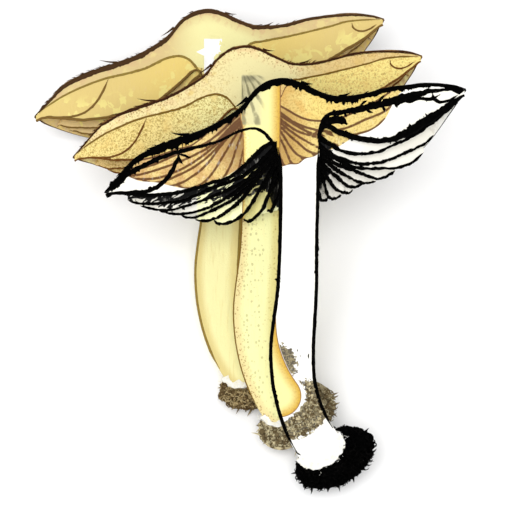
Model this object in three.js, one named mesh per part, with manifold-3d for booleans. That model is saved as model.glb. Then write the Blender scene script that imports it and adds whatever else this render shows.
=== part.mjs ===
// A cluster of three mushrooms, each cut lengthwise, lying with the cut faces up.
// The halves fan out from their feet like a hand of cards, the rear one on the floor.
// Each half is drawn flat in its own frame: x across, y up the stem, z towards the viewer,
// with the cut face at z = 0, the stem axis at x = 0 and the gill line at y = 0.
import * as THREE from 'three';
import { mergeVertices } from 'three/addons/utils/BufferGeometryUtils.js';
import Module from 'manifold-3d';

const wasm = await Module();
wasm.setup();

// Driving dimensions, in millimetres and degrees
const RIGHT_REACH = 39.9;
const LEFT_REACH = 47.1;
const REAR_DEPTH = 17.3;
const CUTICLE_THICKNESS = 0.8;
const MIN_CAP_THICKNESS = 1.7;
const GAP = 0.3;
const GILL_THICKNESS = 0.9;
const GILL_SPACES = 10;
const STEM_TOP_RADIUS = 4.7;
const GILL_CLEARANCE = 1.2;
const CAP_BOTTOM = -3.2;
const FOOT_END_BULGE = 4;
const FELT_THICKNESS = 1.5;
const LEAN = 22;
const FLOOR_DROP = 21.7;

// Cap outline on the cut face, as distance from the stem axis and height above the gill line
const TOP_RIGHT = [
  [0, 12.3], [3.8, 10.4], [7, 9.1], [9.2, 8.8], [14.8, 9.3], [21.2, 11], [27, 11.8],
  [33.2, 12], [37.2, 11.6], [39.9, 10.7],
];
const TOP_LEFT = [
  [0, 12.3], [3, 13.2], [5.1, 13.2], [8.2, 12.3], [11.2, 10], [13.8, 6.6], [16.5, 4.5],
  [22.2, 1.2], [27.5, -0.8], [32, -2.3], [37, -4.5], [40.2, -6.5], [44.2, -11], [47.1, -14.4],
];
const UNDER_RIGHT = [
  [4.6, 0.5], [5.8, 3.4], [10, 5], [14.8, 6], [21.2, 7.5], [27, 9], [30.2, 10], [34.5, 10.5],
  [39.9, 10.6],
];
const UNDER_LEFT = [
  [4.6, -2.2], [6.8, -1.6], [8.5, 0], [10.8, 1.1], [14.5, 0.5], [19.5, -2], [24.8, -3.5],
  [30, -4.8], [34.5, -6.5], [39.5, -8.9], [42.8, -11], [45.5, -13], [47.1, -14.4],
];

// Depth of a gill below the cap flesh, as distance from the stem axis and depth
const GILL_RIGHT = [
  [5.2, 1], [7, 3], [10, 5], [15, 7.5], [19.4, 9], [23.2, 9.2], [27.4, 8.2], [31.2, 6.8],
  [34.9, 4.8], [38, 2.4], [39.9, 0.8],
];
const GILL_LEFT = [
  [5.2, 0.8], [7, 1], [8.2, 2.8], [10.6, 6.4], [13.8, 9], [16.9, 10.1], [21.2, 9.6], [25.1, 10],
  [29.2, 10.1], [33.6, 9.1], [38.4, 6.8], [43.2, 3.4], [47.1, 0.8],
];

// How far the margin hangs lower than the cut face shows, from the right wing round to the left
const REAR_DROOP = [0, 7.3, 12.9, 15.2, 16.5, 15.1, 8.6, 2.6, 0];

// Stem centre line from the cap to the foot, and its half width by share of that length
const STEM_LINE = [
  [0, -3.5], [-0.1, -16], [-0.3, -26], [-0.6, -38], [-1.5, -48], [-1.8, -53], [-1.4, -60],
  [-0.5, -64.5], [0.6, -68], [2.1, -71.5], [4, -74.8], [5, -76.3],
];
const STEM_HALF_WIDTH = [[0, 4.7], [0.35, 4.7], [0.5, 5], [0.65, 5.4], [0.8, 5.3], [1, 5.6]];
const STEM_FOOT = [5, -76.3];

// Soil clod behind and below the foot: centre, half sizes and tilt on the cut face
const SOIL_CENTRE = [8.7, -79.2];
const SOIL_HALF_LENGTH = 10.8;
const SOIL_HALF_HEIGHT = 6.8;
const SOIL_TILT = 29;
const SOIL_LUMPS = 0.05;

// The three halves: where the foot lies across and up the picture and above the middle cut
// face, how the cut face is fanned, and how each one differs in size
const MUSHROOMS = [
  {
    name: 'back', foot: [-3, -27.7, -5.3], fan: -13.3, size: 1.022, stemStretch: 1.022,
    droop: 0.75, soilDepth: 8,
    colours: { flesh: 0xfefbc5, cuticle: 0x5a4228, gills: 0xf2d982, soil: 0x54432a },
  },
  {
    name: 'middle', foot: [6.5, -37.1, 2.4], fan: 0, size: 1, stemStretch: 1,
    droop: 1, soilDepth: 10.6,
    colours: { flesh: 0xfcfac8, cuticle: 0x6b5230, gills: 0xe0bf72, soil: 0x524329 },
  },
  {
    name: 'front', foot: [15.8, -47.5, 9], fan: 11.9, size: 1.015, stemStretch: 1.024,
    droop: 1.2, soilDepth: 13,
    colours: { flesh: 0xfbfbf8, cuticle: 0x0c0b0a, gills: 0xf1efe6, soil: 0x0a0908 },
  },
];
const FELT_COLOUR = 0xfdfbf2;

// Shares of the reach and of a stretch where the surfaces are sampled
const CAP_REACHES = [0, 0.06, 0.1, 0.15, 0.2, 0.27, 0.36, 0.5, 0.66, 0.82, 0.95];
const UNDER_SHARES = [0, 0.06, 0.14, 0.28, 0.48, 0.7, 0.88, 1];
const GILL_SHARES = [0, 0.06, 0.14, 0.25, 0.4, 0.55, 0.7, 0.84, 0.96];
const TURN_STEPS = 16;
const STEM_STATIONS = 14;
const HALF_ROUND_STEPS = 7;
const FOOT_END_ANGLES = [25, 50, 70, 90];

// Half size of the boxes that trim a piece, and how far a cutter stands above the cut face
const FAR = 300;
const RAISED = 5;

const { cos, sin, max, PI } = Math;
const { lerp, degToRad } = THREE.MathUtils;

// A smooth curve through a list of [distance, value] points
function smooth(points) {
  const spline = new THREE.CubicInterpolant(points.map((p) => p[0]), points.map((p) => p[1]), 1);
  return (distance) => spline.evaluate(distance)[0];
}

const top = { right: smooth(TOP_RIGHT), left: smooth(TOP_LEFT) };
const under = { right: smooth(UNDER_RIGHT), left: smooth(UNDER_LEFT) };
const gill = { right: smooth(GILL_RIGHT), left: smooth(GILL_LEFT) };
const droop = smooth(REAR_DROOP.map((drop, i) => [(i * PI) / (REAR_DROOP.length - 1), drop]));
const stemHalfWidth = smooth(STEM_HALF_WIDTH);

// turn runs round the rear from the right wing (0) to the left wing (pi);
// reach runs from the stem axis (0) to the margin (1)
const leftShare = (turn) => (1 - cos(turn)) / 2;
const planRadius = (turn) => lerp(RIGHT_REACH, LEFT_REACH, leftShare(turn));
const rearSquash = REAR_DEPTH / planRadius(PI / 2);

function blended(outline, turn, reach) {
  const right = outline.right(reach * RIGHT_REACH);
  const left = outline.left(reach * LEFT_REACH);
  return lerp(right, left, leftShare(turn));
}

// Layers get taller towards the rear margin, where the cap slopes steeply
const steepness = (turn, reach) => 1 + sin(turn) * reach;

function topHeight(form, turn, reach) {
  return blended(top, turn, reach) - form.droop * droop(turn) * reach * reach;
}

function underHeight(form, turn, reach) {
  const flesh = blended(top, turn, reach) - blended(under, turn, reach);
  return topHeight(form, turn, reach) - max(flesh, MIN_CAP_THICKNESS * steepness(turn, reach));
}

function gillTop(form, turn, reach) {
  return underHeight(form, turn, reach) - GAP * steepness(turn, reach);
}

function gillEdge(form, turn, reach) {
  return gillTop(form, turn, reach) - blended(gill, turn, reach);
}

function capPoint(turn, reach, height) {
  const radius = planRadius(turn) * reach;
  return new THREE.Vector3(radius * cos(turn), height, -radius * rearSquash * sin(turn));
}

// The reach at which a round post of this radius meets the cap, seen along the stem
function reachOfPost(turn, radius) {
  return radius / (planRadius(turn) * Math.hypot(cos(turn), rearSquash * sin(turn)));
}

const turns = Array.from({ length: TURN_STEPS + 1 }, (_, i) => (i * PI) / TURN_STEPS);

// Drops the triangles that a shared point has closed up
function withoutSlivers(geometry) {
  const index = geometry.index.array;
  const kept = [];
  for (let i = 0; i < index.length; i += 3) {
    const [a, b, c] = index.slice(i, i + 3);
    if (a !== b && b !== c && c !== a) kept.push(a, b, c);
  }
  geometry.setIndex(kept);
  return geometry;
}

// Two directions that span the plane a closed loop lies in
function loopPlane(loop) {
  const normal = new THREE.Vector3();
  loop.forEach((point, i) => {
    const next = loop[(i + 1) % loop.length];
    normal.add(point.clone().sub(loop[0]).cross(next.clone().sub(loop[0])));
  });
  normal.normalize();
  const helper = Math.abs(normal.y) > 0.9 ? new THREE.Vector3(1, 0, 0) : new THREE.Vector3(0, 1, 0);
  const across = new THREE.Vector3().crossVectors(helper, normal).normalize();
  const along = new THREE.Vector3().crossVectors(normal, across);
  return { across, along };
}

function loopFace(loop) {
  const { across, along } = loopPlane(loop);
  const flat = loop.map((point) => new THREE.Vector2(point.dot(across), point.dot(along)));
  return THREE.ShapeUtils.triangulateShape(flat, []);
}

// A closed body through loops of equal count, with both end loops filled in
function loft(loops) {
  const count = loops[0].length;
  const positions = loops.flat().flatMap((point) => point.toArray());
  const triangles = [];
  for (let ring = 0; ring + 1 < loops.length; ring += 1) {
    for (let i = 0; i < count; i += 1) {
      const a = ring * count + i;
      const b = ring * count + ((i + 1) % count);
      triangles.push(a, b, a + count, b, b + count, a + count);
    }
  }
  const last = (loops.length - 1) * count;
  loopFace(loops[0]).forEach(([a, b, c]) => triangles.push(a, c, b));
  loopFace(loops.at(-1)).forEach(([a, b, c]) => triangles.push(last + a, last + b, last + c));
  const geometry = new THREE.BufferGeometry();
  geometry.setAttribute('position', new THREE.Float32BufferAttribute(positions, 3));
  geometry.setIndex(triangles);
  return facingOut(withoutSlivers(mergeVertices(geometry, 1e-4)));
}

function facingOut(geometry) {
  const place = geometry.attributes.position;
  const index = geometry.index.array;
  const corners = [new THREE.Vector3(), new THREE.Vector3(), new THREE.Vector3()];
  let volume = 0;
  for (let i = 0; i < index.length; i += 3) {
    corners.forEach((corner, k) => corner.fromBufferAttribute(place, index[i + k]));
    volume += corners[0].dot(corners[1].clone().cross(corners[2]));
  }
  if (volume < 0) geometry.setIndex(Array.from(index).reverse());
  return geometry;
}

function toSolid(geometry) {
  const bare = new THREE.BufferGeometry();
  bare.setAttribute('position', geometry.attributes.position);
  bare.setIndex(geometry.index);
  const welded = withoutSlivers(mergeVertices(bare, 1e-4));
  const vertProperties = new Float32Array(welded.attributes.position.array);
  const triVerts = new Uint32Array(welded.index.array);
  return new wasm.Manifold(new wasm.Mesh({ numProp: 3, vertProperties, triVerts }));
}

function toGeometry(solid) {
  const mesh = solid.getMesh();
  const geometry = new THREE.BufferGeometry();
  geometry.setAttribute('position', new THREE.BufferAttribute(mesh.vertProperties, 3));
  geometry.setIndex(new THREE.BufferAttribute(mesh.triVerts, 1));
  return geometry;
}

// The pale flesh of the cap, from under the cuticle to the gills and the stem top
function capFlesh(form) {
  const crust = CUTICLE_THICKNESS + GAP;
  return loft(turns.map((turn) => {
    const post = reachOfPost(turn, STEM_TOP_RADIUS);
    const above = CAP_REACHES.map((reach) => (
      capPoint(turn, reach, topHeight(form, turn, reach) - crust * steepness(turn, reach))));
    const below = [post, ...gillReaches(turn, UNDER_SHARES)].map((reach) => (
      capPoint(turn, reach, underHeight(form, turn, reach))));
    const bottom = [capPoint(turn, post, CAP_BOTTOM), capPoint(turn, 0, CAP_BOTTOM)];
    return [...above, ...below.reverse(), ...bottom];
  }));
}

function cuticle(form) {
  const reaches = [...CAP_REACHES, 1];
  return loft(turns.map((turn) => {
    const layer = (depth) => reaches.map((reach) => (
      capPoint(turn, reach, topHeight(form, turn, reach) - depth * steepness(turn, reach))));
    return [...layer(0), ...layer(CUTICLE_THICKNESS).reverse()];
  }));
}

// Reaches from just outside the stem to the margin
function gillReaches(turn, shares) {
  const start = reachOfPost(turn, STEM_TOP_RADIUS + GILL_CLEARANCE);
  const rim = CAP_REACHES.at(-1);
  return shares.map((share) => lerp(start, rim, share));
}

// One gill: a thin plate that stands along a line of constant turn, below the flesh
function gillPlate(form, turn, flesh) {
  const reaches = gillReaches(turn, GILL_SHARES);
  const upper = reaches.map((reach) => capPoint(turn, reach, gillTop(form, turn, reach)));
  const lower = reaches.map((reach) => capPoint(turn, reach, gillEdge(form, turn, reach)));
  const plate = [...upper, ...lower.reverse()];
  const sideways = new THREE.Vector3(rearSquash * sin(turn), 0, cos(turn)).normalize();
  const centred = GILL_THICKNESS / 2;
  const onCutFace = sin(turn) < 1e-6;
  const shifts = onCutFace ? [0, -GILL_THICKNESS * Math.sign(cos(turn))] : [-centred, centred];
  const solid = toSolid(loft(shifts.map((shift) => (
    plate.map((point) => point.clone().addScaledVector(sideways, shift))))));
  const lowered = flesh.translate([0, -GAP * 0.9, 0]);
  return largestPart(solid.subtract(flesh).subtract(lowered));
}

// Gills stand at even angles round the stem
function gillPlates(form) {
  const flesh = toSolid(capFlesh(form));
  return Array.from({ length: GILL_SPACES + 1 }, (_, i) => {
    const angle = (i * PI) / GILL_SPACES;
    return gillPlate(form, Math.atan2(sin(angle) / rearSquash, cos(angle)), flesh);
  });
}

// Half of a round section, with its flat side on the cut face or raised above it
function halfRound(centre, across, radius, raised) {
  const edge = (side) => centre.clone().addScaledVector(across, side * radius).setZ(raised);
  const round = Array.from({ length: HALF_ROUND_STEPS + 1 }, (_, i) => {
    const angle = (i * PI) / HALF_ROUND_STEPS;
    return centre.clone().addScaledVector(across, radius * cos(angle)).setZ(-radius * sin(angle));
  });
  return raised > 0 ? [edge(1), ...round, edge(-1)] : round;
}

// A point of the stem or foot, moved down where this stem is longer than the drawn one
function stretched(form, [x, y]) {
  const belowCap = y < CAP_BOTTOM * 2;
  return new THREE.Vector3(x, belowCap ? y * form.stemStretch : y, 0);
}

function stemFrame(form) {
  const line = new THREE.CatmullRomCurve3(STEM_LINE.map((point) => stretched(form, point)));
  const down = line.getTangentAt(1);
  return { line, down, foot: stretched(form, STEM_FOOT) };
}

const acrossOf = (tangent) => new THREE.Vector3(-tangent.y, tangent.x, 0).normalize();

// The stem with its rounded foot; a cutter for its neighbours is larger all round and raised
function stem(form, larger = 0, raised = 0) {
  const { line, down, foot } = stemFrame(form);
  const loops = [];
  for (let i = 0; i < STEM_STATIONS; i += 1) {
    const share = i / (STEM_STATIONS - 1);
    const across = i === 0 ? new THREE.Vector3(1, 0, 0) : acrossOf(line.getTangentAt(share));
    const radius = stemHalfWidth(share) + larger;
    loops.push(halfRound(line.getPointAt(share), across, radius, raised));
  }
  for (const angle of FOOT_END_ANGLES.map(degToRad)) {
    const centre = foot.clone().addScaledVector(down, (FOOT_END_BULGE + larger) * sin(angle));
    const radius = (stemHalfWidth(1) + larger) * cos(angle);
    loops.push(halfRound(centre, acrossOf(down), radius, raised));
  }
  return loft(loops);
}

// A round body squashed to three half sizes, turned on the cut face and moved to its centre
function ellipsoid(centre, halfSizes, tilt, lumps = 0) {
  const geometry = new THREE.SphereGeometry(1, 18, 12);
  const place = geometry.attributes.position;
  for (let i = 0; i < place.count; i += 1) {
    const point = new THREE.Vector3().fromBufferAttribute(place, i);
    const lump = 1 + lumps * (sin(7 * point.x + 2) + sin(8 * point.y + 5 * point.z));
    place.setXYZ(i, ...point.multiplyScalar(lump).toArray());
  }
  geometry.scale(...halfSizes);
  geometry.rotateZ(tilt);
  geometry.translate(...centre);
  return toSolid(geometry);
}

function bigBox(xLow, xHigh, yLow, yHigh, zLow, zHigh) {
  const box = new THREE.BoxGeometry(xHigh - xLow, yHigh - yLow, zHigh - zLow);
  return box.translate((xLow + xHigh) / 2, (yLow + yHigh) / 2, (zLow + zHigh) / 2);
}

const behindCut = () => toSolid(bigBox(-FAR, FAR, -FAR, FAR, -FAR, 0));
const stemCutter = (form) => toSolid(stem(form, GAP, RAISED));

// A cup round the end of the stem, whole on both sides of the cut face
function footCup(form, larger = 0) {
  const { down, foot } = stemFrame(form);
  const width = stemHalfWidth(1) + FELT_THICKNESS + larger;
  const length = FOOT_END_BULGE + FELT_THICKNESS + larger;
  const tilt = Math.atan2(down.y, down.x) + PI / 2;
  const cup = ellipsoid(foot.toArray(), [width, length, width], tilt);
  const lower = bigBox(-FAR, FAR, -FAR, larger, -FAR, FAR);
  lower.rotateZ(tilt);
  lower.translate(...foot.toArray());
  return cup.intersect(toSolid(lower));
}

// The pale felt between the foot and the soil
function felt(form) {
  return footCup(form).intersect(behindCut()).subtract(stemCutter(form));
}

function soil(form) {
  const centre = stretched(form, SOIL_CENTRE).toArray();
  const halfSizes = [SOIL_HALF_LENGTH, SOIL_HALF_HEIGHT, form.soilDepth];
  const clod = ellipsoid(centre, halfSizes, degToRad(SOIL_TILT), SOIL_LUMPS);
  const hollowed = clod.intersect(behindCut()).subtract(stemCutter(form));
  return largestPart(hollowed.subtract(footCup(form, GAP)));
}

// Leaves out crumbs that a cut has parted from the main body
function largestPart(solid) {
  return solid.decompose().reduce((best, part) => (part.volume() > best.volume() ? part : best));
}

const cluster = new THREE.Group();
const sheaf = new THREE.Group();
sheaf.rotation.x = degToRad(LEAN);
sheaf.position.z = FLOOR_DROP;
cluster.add(sheaf);

// Trims a piece of a half flat where it would go through the floor
function aboveFloor(half, solid) {
  half.updateWorldMatrix(true, false);
  const toHalf = half.matrixWorld.clone().invert();
  const air = bigBox(-FAR, FAR, -FAR, FAR, 0, FAR).applyMatrix4(toHalf);
  return solid.intersect(toSolid(air));
}

function addPiece(half, name, geometry, colour, roughness) {
  const bare = geometry.clone();
  bare.deleteAttribute('normal');
  bare.deleteAttribute('uv');
  const material = new THREE.MeshStandardMaterial({ color: colour, roughness, metalness: 0 });
  const mesh = new THREE.Mesh(bare, material);
  mesh.name = name;
  half.add(mesh);
}

function addMushroom(form) {
  const half = new THREE.Group();
  const hinge = new THREE.Group();
  const { foot } = stemFrame(form);
  hinge.position.set(...form.foot);
  hinge.rotation.x = degToRad(form.fan);
  hinge.scale.setScalar(form.size);
  half.position.copy(foot).negate();
  hinge.add(half);
  sheaf.add(hinge);
  const { name, colours } = form;
  const onFloor = (geometry) => toGeometry(aboveFloor(half, toSolid(geometry)));
  addPiece(half, `${name}_cap`, onFloor(capFlesh(form)), colours.flesh, 0.7);
  addPiece(half, `${name}_cuticle`, onFloor(cuticle(form)), colours.cuticle, 0.8);
  gillPlates(form).forEach((gillSolid, i) => {
    const geometry = toGeometry(aboveFloor(half, gillSolid));
    addPiece(half, `${name}_gill_${i + 1}`, geometry, colours.gills, 0.75);
  });
  addPiece(half, `${name}_stem`, stem(form), colours.flesh, 0.7);
  addPiece(half, `${name}_mycelium`, toGeometry(aboveFloor(half, felt(form))), FELT_COLOUR, 0.95);
  addPiece(half, `${name}_soil`, toGeometry(aboveFloor(half, soil(form))), colours.soil, 1);
}

MUSHROOMS.forEach(addMushroom);

// The origin is on the floor, under the middle of the whole cluster
const bounds = new THREE.Box3().setFromObject(cluster, true);
const middle = bounds.getCenter(new THREE.Vector3());
sheaf.position.x -= middle.x;
sheaf.position.y -= middle.y;
cluster.updateMatrixWorld(true);

export default cluster;
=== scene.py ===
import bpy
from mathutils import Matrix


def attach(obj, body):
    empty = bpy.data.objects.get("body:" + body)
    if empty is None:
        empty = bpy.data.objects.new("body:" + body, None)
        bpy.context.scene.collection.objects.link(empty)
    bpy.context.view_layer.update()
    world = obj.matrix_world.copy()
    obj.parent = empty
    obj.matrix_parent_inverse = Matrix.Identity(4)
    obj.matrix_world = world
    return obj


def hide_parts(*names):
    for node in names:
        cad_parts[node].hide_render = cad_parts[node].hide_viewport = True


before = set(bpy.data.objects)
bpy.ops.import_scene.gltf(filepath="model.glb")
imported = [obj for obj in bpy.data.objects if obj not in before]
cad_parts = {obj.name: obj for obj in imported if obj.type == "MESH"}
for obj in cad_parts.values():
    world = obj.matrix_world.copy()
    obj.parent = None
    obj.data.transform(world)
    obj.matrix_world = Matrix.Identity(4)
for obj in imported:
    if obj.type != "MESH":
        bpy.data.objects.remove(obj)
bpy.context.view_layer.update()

# The looks of a cluster of three mushrooms, each cut lengthwise, lying with the cut faces up.
# Each half is drawn in its own frame, in millimetres: x across, y up the stem, z towards the
# viewer, with the cut face at z = 0, the stem axis at x = 0 and the gill line at y = 0.
# A place on the cap has a turn, 0 at the right end of the cut and pi at the left one, and a
# reach, 0 on the stem axis and 1 at the margin.
import math

import bmesh
import bpy
import numpy as np
from mathutils import Matrix, Vector
from mathutils.kdtree import KDTree

pi = math.pi


def even(half_width):
    """The same half width all the way across the cut face."""
    return [(-60, half_width), (60, half_width)]


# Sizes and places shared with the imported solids, in millimetres and degrees
RIGHT_REACH = 39.9
LEFT_REACH = 47.1
REAR_DEPTH = 17.3
LEAN = 22
SHEAF_PLACE = (2.511, -5.875, 21.7)
STEM_FOOT = (5, -76.3)
STRETCH_BELOW = -6.4
FOOT_END_BULGE = 4

TOP_RIGHT = [
    (0, 12.3), (3.8, 10.4), (7, 9.1), (9.2, 8.8), (14.8, 9.3), (21.2, 11), (27, 11.8),
    (33.2, 12), (37.2, 11.6), (39.9, 10.7),
]
TOP_LEFT = [
    (0, 12.3), (3, 13.2), (5.1, 13.2), (8.2, 12.3), (11.2, 10), (13.8, 6.6), (16.5, 4.5),
    (22.2, 1.2), (27.5, -0.8), (32, -2.3), (37, -4.5), (40.2, -6.5), (44.2, -11), (47.1, -14.4),
]
UNDER_RIGHT = [
    (4.6, 0.5), (5.8, 3.4), (10, 5), (14.8, 6), (21.2, 7.5), (27, 9), (30.2, 10), (34.5, 10.5),
    (39.9, 10.6),
]
UNDER_LEFT = [
    (4.6, -2.2), (6.8, -1.6), (8.5, 0), (10.8, 1.1), (14.5, 0.5), (19.5, -2), (24.8, -3.5),
    (30, -4.8), (34.5, -6.5), (39.5, -8.9), (42.8, -11), (45.5, -13), (47.1, -14.4),
]
GILL_RIGHT = [
    (5.2, 1), (7, 3), (10, 5), (15, 7.5), (19.4, 9), (23.2, 9.2), (27.4, 8.2), (31.2, 6.8),
    (34.9, 4.8), (38, 2.4), (39.9, 0.8),
]
GILL_LEFT = [
    (5.2, 0.8), (7, 1), (8.2, 2.8), (10.6, 6.4), (13.8, 9), (16.9, 10.1), (21.2, 9.6), (25.1, 10),
    (29.2, 10.1), (33.6, 9.1), (38.4, 6.8), (43.2, 3.4), (47.1, 0.8),
]
REAR_DROOP = [0, 5.2, 12.6, 15.2, 16.5, 15.1, 8.6, 2.6, 0]
STEM_LINE = [
    (0, -3.5), (-0.1, -16), (-0.3, -26), (-0.6, -38), (-1.5, -48), (-1.8, -53), (-1.4, -60),
    (-0.5, -64.5), (0.6, -68), (2.1, -71.5), (4, -74.8), (5, -76.3),
]
STEM_HALF_WIDTH = [(0, 4.7), (0.35, 4.7), (0.5, 5), (0.65, 5.4), (0.8, 5.3), (1, 5.6)]
SOIL_CENTRE = (8.7, -79.2)
SOIL_HALF_LENGTH = 10.8
SOIL_HALF_HEIGHT = 6.8
SOIL_TILT = 29

# Where each half lies and how it differs. skin is how thick the cut edge of the skin is, and
# line, edge and stem_line are half widths of drawn lines, each at distances across the cut
# face. rag is how rough they are, and inked marks the half that is drawn in solid black.
FORMS = {
    "back": dict(
        foot=(-3, -27.7, -5.3), fan=-13.3, size=1.022, stretch=1.022, droop=0.7, soil_depth=8,
        skin=[(-47, 0.5), (-40, 1.1), (-5, 1.1), (8, 0.8), (25, 0.6), (40, 0.4)],
        skin_rag=0.12, line=[(-47, 0.18), (-30, 0.28), (0, 0.3), (40, 0.2)], line_rag=0.25,
        edge=even(0.3), edge_bead=0.22, stem_line=0.3, seed=11, edge_hairs=70, inked=False,
    ),
    "middle": dict(
        foot=(6.5, -37.1, 2.4), fan=0, size=1, stretch=1, droop=0.94, soil_depth=10.6,
        skin=[(-47, 0.35), (-40, 0.6), (-5, 0.55), (8, 0.5), (25, 0.4), (40, 0.3)],
        skin_rag=0.2, line=[(-47, 0.18), (-30, 0.25), (0, 0.24), (40, 0.2)], line_rag=0.4,
        edge=even(0.25), edge_bead=0.23, stem_line=0.17, seed=12, edge_hairs=44, inked=False,
    ),
    "front": dict(
        foot=(15.8, -47.5, 9), fan=11.9, size=1.015, stretch=1.024, droop=1.13, soil_depth=13,
        skin=[
            (-47, 1.1), (-40, 1.5), (-30, 1.9), (-20, 1.4), (-5, 1.6), (2, 1.5), (8, 1.45),
            (20, 1.1), (25, 1), (31, 0.75), (35, 0.9), (37.5, 1.6), (40, 1.6),
        ],
        skin_rag=0.36, line_rag=0.5, edge_bead=0.38, stem_line=0.44, seed=13, edge_hairs=24,
        edge=[
            (-60, 0.5), (0, 0.55), (12, 0.72), (21, 0.75), (26, 0.95), (31, 1.1), (36, 0.9),
            (39, 0.4),
        ],
        line=[
            (-46, 0.7), (-40, 0.6), (-30, 0.52), (-25, 0.42), (-20, 0.32), (-12, 0.34),
            (-8, 0.42), (5, 0.5), (10, 0.6), (14, 0.8), (18, 0.85), (22, 1), (26, 1.15),
            (30, 0.7), (36, 0.3), (40, 0.25),
        ],
        inked=True,
    ),
}

TURN_STEPS = 120
MARGIN_THICKNESS = 0.5
POST_RIGHT = 4.7
POST_LEFT = 5.5
SKIN_INSET = 0.3
BEAK_SHARE = 0.022
BEAK_TURN = 0.13


def lerp(a, b, share):
    return a + (b - a) * share


def stacked(*parts):
    """Coordinates of different shapes, spread to one shape and stacked as points."""
    return np.stack(np.broadcast_arrays(*parts), -1)


def unit(vectors):
    return vectors / np.linalg.norm(vectors, axis=-1, keepdims=True)


def smooth(points):
    """A smooth curve through (distance, value) points, as a function of distance."""
    at, value = np.array(points, float).T
    chord = np.diff(value) / np.diff(at)
    slope = np.concatenate([chord[:1], (chord[1:] + chord[:-1]) / 2, chord[-1:]])

    def curve(x):
        x = np.clip(x, at[0], at[-1])
        i = np.clip(np.searchsorted(at, x, side="right") - 1, 0, len(chord) - 1)
        step = at[i + 1] - at[i]
        s = (x - at[i]) / step
        flat = lerp(value[i], value[i + 1], s * s * (3 - 2 * s))
        return flat + step * s * (1 - s) * ((1 - s) * slope[i] - s * slope[i + 1])

    return curve


TOP = smooth(TOP_RIGHT), smooth(TOP_LEFT)
UNDER = smooth(UNDER_RIGHT), smooth(UNDER_LEFT)
GILL = smooth(GILL_RIGHT), smooth(GILL_LEFT)
DROOP = smooth([(i * pi / 8, drop) for i, drop in enumerate(REAR_DROOP)])
HALF_WIDTH = smooth(STEM_HALF_WIDTH)


def left_share(turn):
    return (1 - np.cos(turn)) / 2


def plan_radius(turn):
    return lerp(RIGHT_REACH, LEFT_REACH, left_share(turn))


REAR_SQUASH = REAR_DEPTH / plan_radius(pi / 2)


def blended(sides, turn, reach):
    """A height between the right side's curve and the left side's."""
    right = sides[0](reach * RIGHT_REACH)
    left = sides[1](reach * LEFT_REACH)
    return lerp(right, left, left_share(turn))


def steepness(turn, reach):
    """How much further a layer reaches upwards where the cap slopes down behind."""
    return 1 + np.sin(turn) * reach


def top_height(form, turn, reach):
    return blended(TOP, turn, reach) - form["droop"] * DROOP(turn) * reach**2


def under_height(form, turn, reach):
    flesh = blended(TOP, turn, reach) - blended(UNDER, turn, reach)
    least = MARGIN_THICKNESS * steepness(turn, reach)
    return top_height(form, turn, reach) - np.maximum(flesh, least)


def cap_point(turn, reach, height):
    """A place on the cap; its margin is drawn in a little beside each end of the cut."""
    beak = 1 - BEAK_SHARE * np.minimum(1, np.sin(turn) / BEAK_TURN) * reach**6
    radius = plan_radius(turn) * reach * beak
    return stacked(radius * np.cos(turn), height, -radius * REAR_SQUASH * np.sin(turn))


def reach_of_post(turn):
    """The reach at which the stem meets the cap."""
    radius = lerp(POST_RIGHT, POST_LEFT, left_share(turn))
    return radius / (plan_radius(turn) * np.hypot(np.cos(turn), REAR_SQUASH * np.sin(turn)))


def wander(at, spacing, seed):
    """Smooth random values from -1 to 1 along a line, a new one every spacing."""
    cells = np.asarray(at) / spacing
    low = math.floor(cells.min())
    values = np.random.default_rng(seed).uniform(-1, 1, math.ceil(cells.max()) - low + 3)
    whole = np.floor(cells).astype(int)
    part = cells - whole
    return lerp(values[whole - low], values[whole - low + 1], part * part * (3 - 2 * part))


def lumps(points, size, seed):
    """Smooth random values from -1 to 1 in space, a new one every size."""
    count = 24
    table = np.random.default_rng(seed).uniform(-1, 1, (count, count, count))
    cells = np.asarray(points) / size
    whole = np.floor(cells).astype(int)
    part = cells - whole
    part = part * part * (3 - 2 * part)
    total = 0
    for corner in np.ndindex(2, 2, 2):
        weight = np.prod(np.where(corner, part, 1 - part), axis=-1)
        x, y, z = np.moveaxis((whole + corner) % count, -1, 0)
        total = total + weight * table[x, y, z]
    return total


def ragged(at, seed, teeth=1.0):
    """A rough edge: mostly from -0.6 to 0.6, with sharp teeth up to 2."""
    rough = 0.4 * wander(at, 1.3, seed) + 0.3 * wander(at, 0.5, seed + 1)
    spikes = np.maximum(0, 1 - np.abs(wander(at, 0.8, seed + 2)) * 5)
    return rough + 1.5 * teeth * spikes * (wander(at, 2.3, seed + 3) > 0.1)


class Shape:
    """The points and faces of one piece, gathered part by part."""

    def __init__(self):
        self.points, self.notes, self.faces, self.slots, self.count = [], [], [], [], 0

    def add(self, points, faces, slot=0, note=(0, 0, 0)):
        """note is a triple, or one for each point, that tells the material about them."""
        points = np.asarray(points, float).reshape(-1, 3)
        self.points.append(points)
        self.notes.append(np.broadcast_to(np.reshape(note, (-1, 3)), points.shape))
        self.faces += [[i + self.count for i in face] for face in faces]
        self.slots += [slot] * len(faces)
        self.count += len(points)

    def grid(self, rows, slot=0, note=(0, 0, 0), ring=False):
        """A sheet of quads through rows of equal count; a ring joins the ends of each row."""
        rows = np.asarray(rows)
        high, wide = rows.shape[:2]
        faces = []
        for r in range(high - 1):
            for c in range(wide if ring else wide - 1):
                near, far = r * wide, (r + 1) * wide
                after = (c + 1) % wide
                faces.append([near + c, near + after, far + after, far + c])
        self.add(rows, faces, slot, note)

    def loft(self, rows, slot=0, note=(0, 0, 0)):
        """A closed body through rings of equal count, with both ends filled in."""
        first = self.count
        self.grid(rows, slot, note, ring=True)
        high, wide = np.asarray(rows).shape[:2]
        self.faces.append([first + i for i in range(wide)][::-1])
        self.faces.append([first + (high - 1) * wide + i for i in range(wide)])
        self.slots += [slot, slot]


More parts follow.
